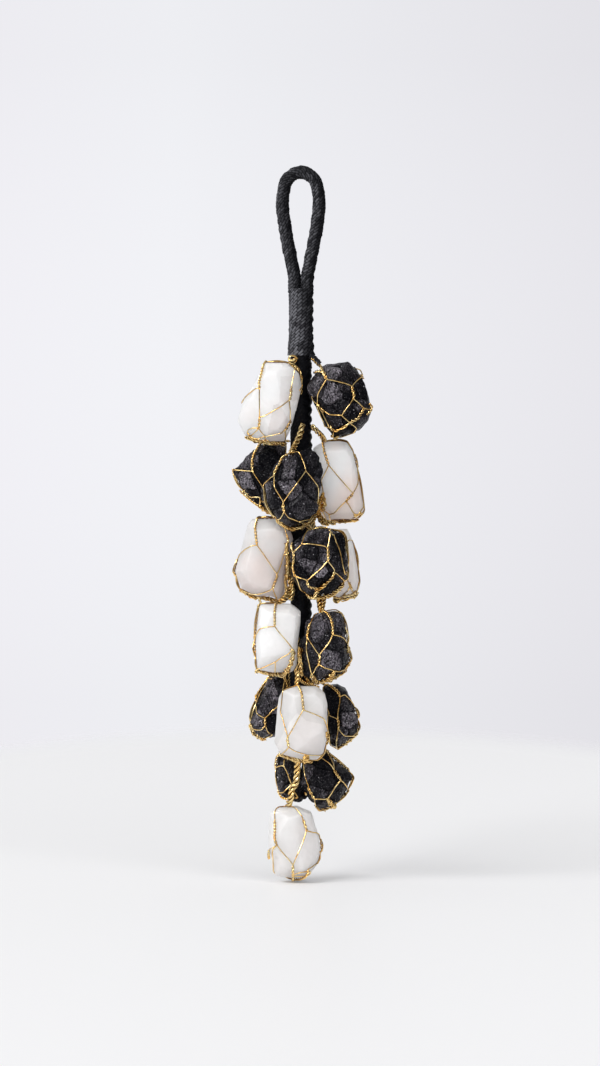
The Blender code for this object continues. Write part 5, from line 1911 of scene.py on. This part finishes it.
@dataclass
class Studio:
    """The camera, the pale table, the pale room and the soft lights. Lengths in metres."""

    aim: Place = (-0.0004, 0.0, -0.1639)
    distance: float = 2.469
    elevation: float = 2.8
    lens: float = 180.0
    table_gap: float = 0.0004
    table_half_width: float = 0.45
    table_half_depth: float = 1.53
    table_back: float = 0.88
    table_corners: int = 360
    paper_colour: Colour = (0.83, 0.83, 0.835)
    backdrop: Sequence[tuple[float, Colour]] = (
        (0.0, (0.88, 0.872, 0.915)), (0.3, (0.888, 0.893, 0.928)), (1.0, (0.802, 0.794, 0.834)))
    dimmest: float = 0.15
    room: Sequence[tuple[int, float, float, float]] = (
        (0, 0.2, -1.0, 0.22), (1, 0.0, 0.8, 0.3), (2, 0.0, 1.0, 0.35))
    lamps: Sequence[Lamp] = (
        Lamp("key", (-11.2, -9.6, 10.2), 17.6, 5.8, 1900.0),
        Lamp("window", (-10.6, -9.9, 10.9), 12.8, 2.2, 850.0),
        Lamp("fill", (6.7, -15.4, 7.4), 16.0, 9.6, 1800.0, mirrored=False))

    def set_camera(self) -> None:
        """Put the camera in front, a little above the object's middle."""
        camera = bpy.data.objects.new("camera", bpy.data.cameras.new("camera"))
        bpy.context.scene.collection.objects.link(camera)
        camera.data.lens = self.lens
        camera.data.sensor_width = 36.0
        camera.data.clip_start = 0.01
        rise = math.radians(self.elevation)
        back = Vector((0.0, -math.cos(rise), math.sin(rise)))
        camera.location = Vector(self.aim) + back * self.distance
        camera.rotation_euler = (-back).to_track_quat("-Z", "Y").to_euler()
        bpy.context.scene.camera = camera

    def lay_table(self) -> None:
        """An oval table top just under the lowest stone: (a cos t, b sin t) round its middle."""
        low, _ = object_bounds()
        angle = np.linspace(0.0, 2 * math.pi, self.table_corners, endpoint=False)
        centre = self.table_back - self.table_half_depth
        edge = np.stack([self.table_half_width * np.cos(angle),
                         centre + self.table_half_depth * np.sin(angle),
                         np.full(len(angle), low[2] - self.table_gap)], axis=1)
        mesh = bpy.data.meshes.new("table_top")
        mesh.from_pydata(edge.tolist(), [], [list(range(len(edge)))])
        mesh.materials.append(self.paper())
        table = bpy.data.objects.new("table_top", mesh)
        bpy.context.scene.collection.objects.link(table)
        table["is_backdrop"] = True

    def paper(self) -> bpy.types.Material:
        """The table's plain pale finish, which fades out towards its rim.

        The fade runs over the last tenth of the radius, which is the length of
        (x / half width, (y - middle) / half depth).

        Returns:
            The finish.
        """
        made, graph, shader = new_material("pale_table")
        middle = self.table_back - self.table_half_depth
        centred = graph.vector("SUBTRACT", graph.place(), in1=(0.0, middle, 0.0))
        scaled = graph.vector("MULTIPLY", centred.outputs[0],
                              in1=(1 / self.table_half_width, 1 / self.table_half_depth, 0.0))
        radius = graph.vector("LENGTH", scaled.outputs[0])
        fade = graph.within(radius.outputs["Value"], 0.9, 1.0, eased=True, To_Min=1.0, To_Max=0.0)
        graph.feed(shader, Base_Color=(*self.paper_colour, 1.0), Roughness=0.5, Alpha=fade)
        return made

    def light_room(self) -> None:
        """A pale room: what the camera sees of it is paler on the left than on the right.

        Its light comes dimmest from the front right and below: along each axis of the
        room, a smooth step of the direction's part along it adds its gain.
        """
        world = bpy.data.worlds.new("pale_room")
        bpy.context.scene.world = world
        world.use_nodes = True
        graph = Graph(world.node_tree)
        way = graph.add("SeparateXYZ", in0=graph.add("TexCoord").outputs["Generated"])
        across = graph.within(way.outputs[0], -0.06, 0.06)
        level = graph.within(way.outputs[2], -0.08, 0.04, To_Min=-1.0)
        fade = graph.math("MULTIPLY", level, level)
        # The backdrop that the camera sees is painted light, paler on the left than on the right;
        # its strength is highest in a band just under the horizon.
        seen = graph.ramp(across, *self.backdrop)
        shown = graph.add("Background", Color=seen, Strength=graph.between(fade, 1.0, 0.96))
        light = self.dimmest
        for axis, start, end, gain in self.room:
            part = graph.within(way.outputs[axis], start, end, eased=True, To_Max=gain)
            light = graph.math("ADD", part, light)
        around = graph.add("Background", Color=(0.98, 0.98, 1.0, 1.0), Strength=light)
        path = graph.add("LightPath")
        mixed = graph.add("MixShader", in0=path.outputs["Is Camera Ray"], in1=around.outputs[0],
                          in2=shown.outputs[0])
        graph.add("OutputWorld", Surface=mixed.outputs[0])

    def build(self) -> None:
        """Light the room and set the way light becomes colour."""
        self.lay_table()
        self.light_room()
        for lamp in self.lamps:
            lamp.hang(Vector(self.aim))
        scene = bpy.context.scene
        scene.view_settings.view_transform = "Standard"
        scene.view_settings.look = "None"


def main() -> None:
    """Load the frame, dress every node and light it."""
    logging.basicConfig(level=logging.INFO, format="%(name)s: %(message)s")
    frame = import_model()
    log.info("frame loaded: %d nodes", len(frame["nodes"]))
    studio = Studio()
    studio.set_camera()
    finishes = Finishes()
    Rope(finishes).build()
    Cluster(finishes).build()
    studio.build()
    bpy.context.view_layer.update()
    total = sum(len(piece.data.loop_triangles) or len(piece.data.polygons) * 2
                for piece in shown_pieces())
    log.info("about %d triangles in all", total)


if __name__ == "__main__":
    main()
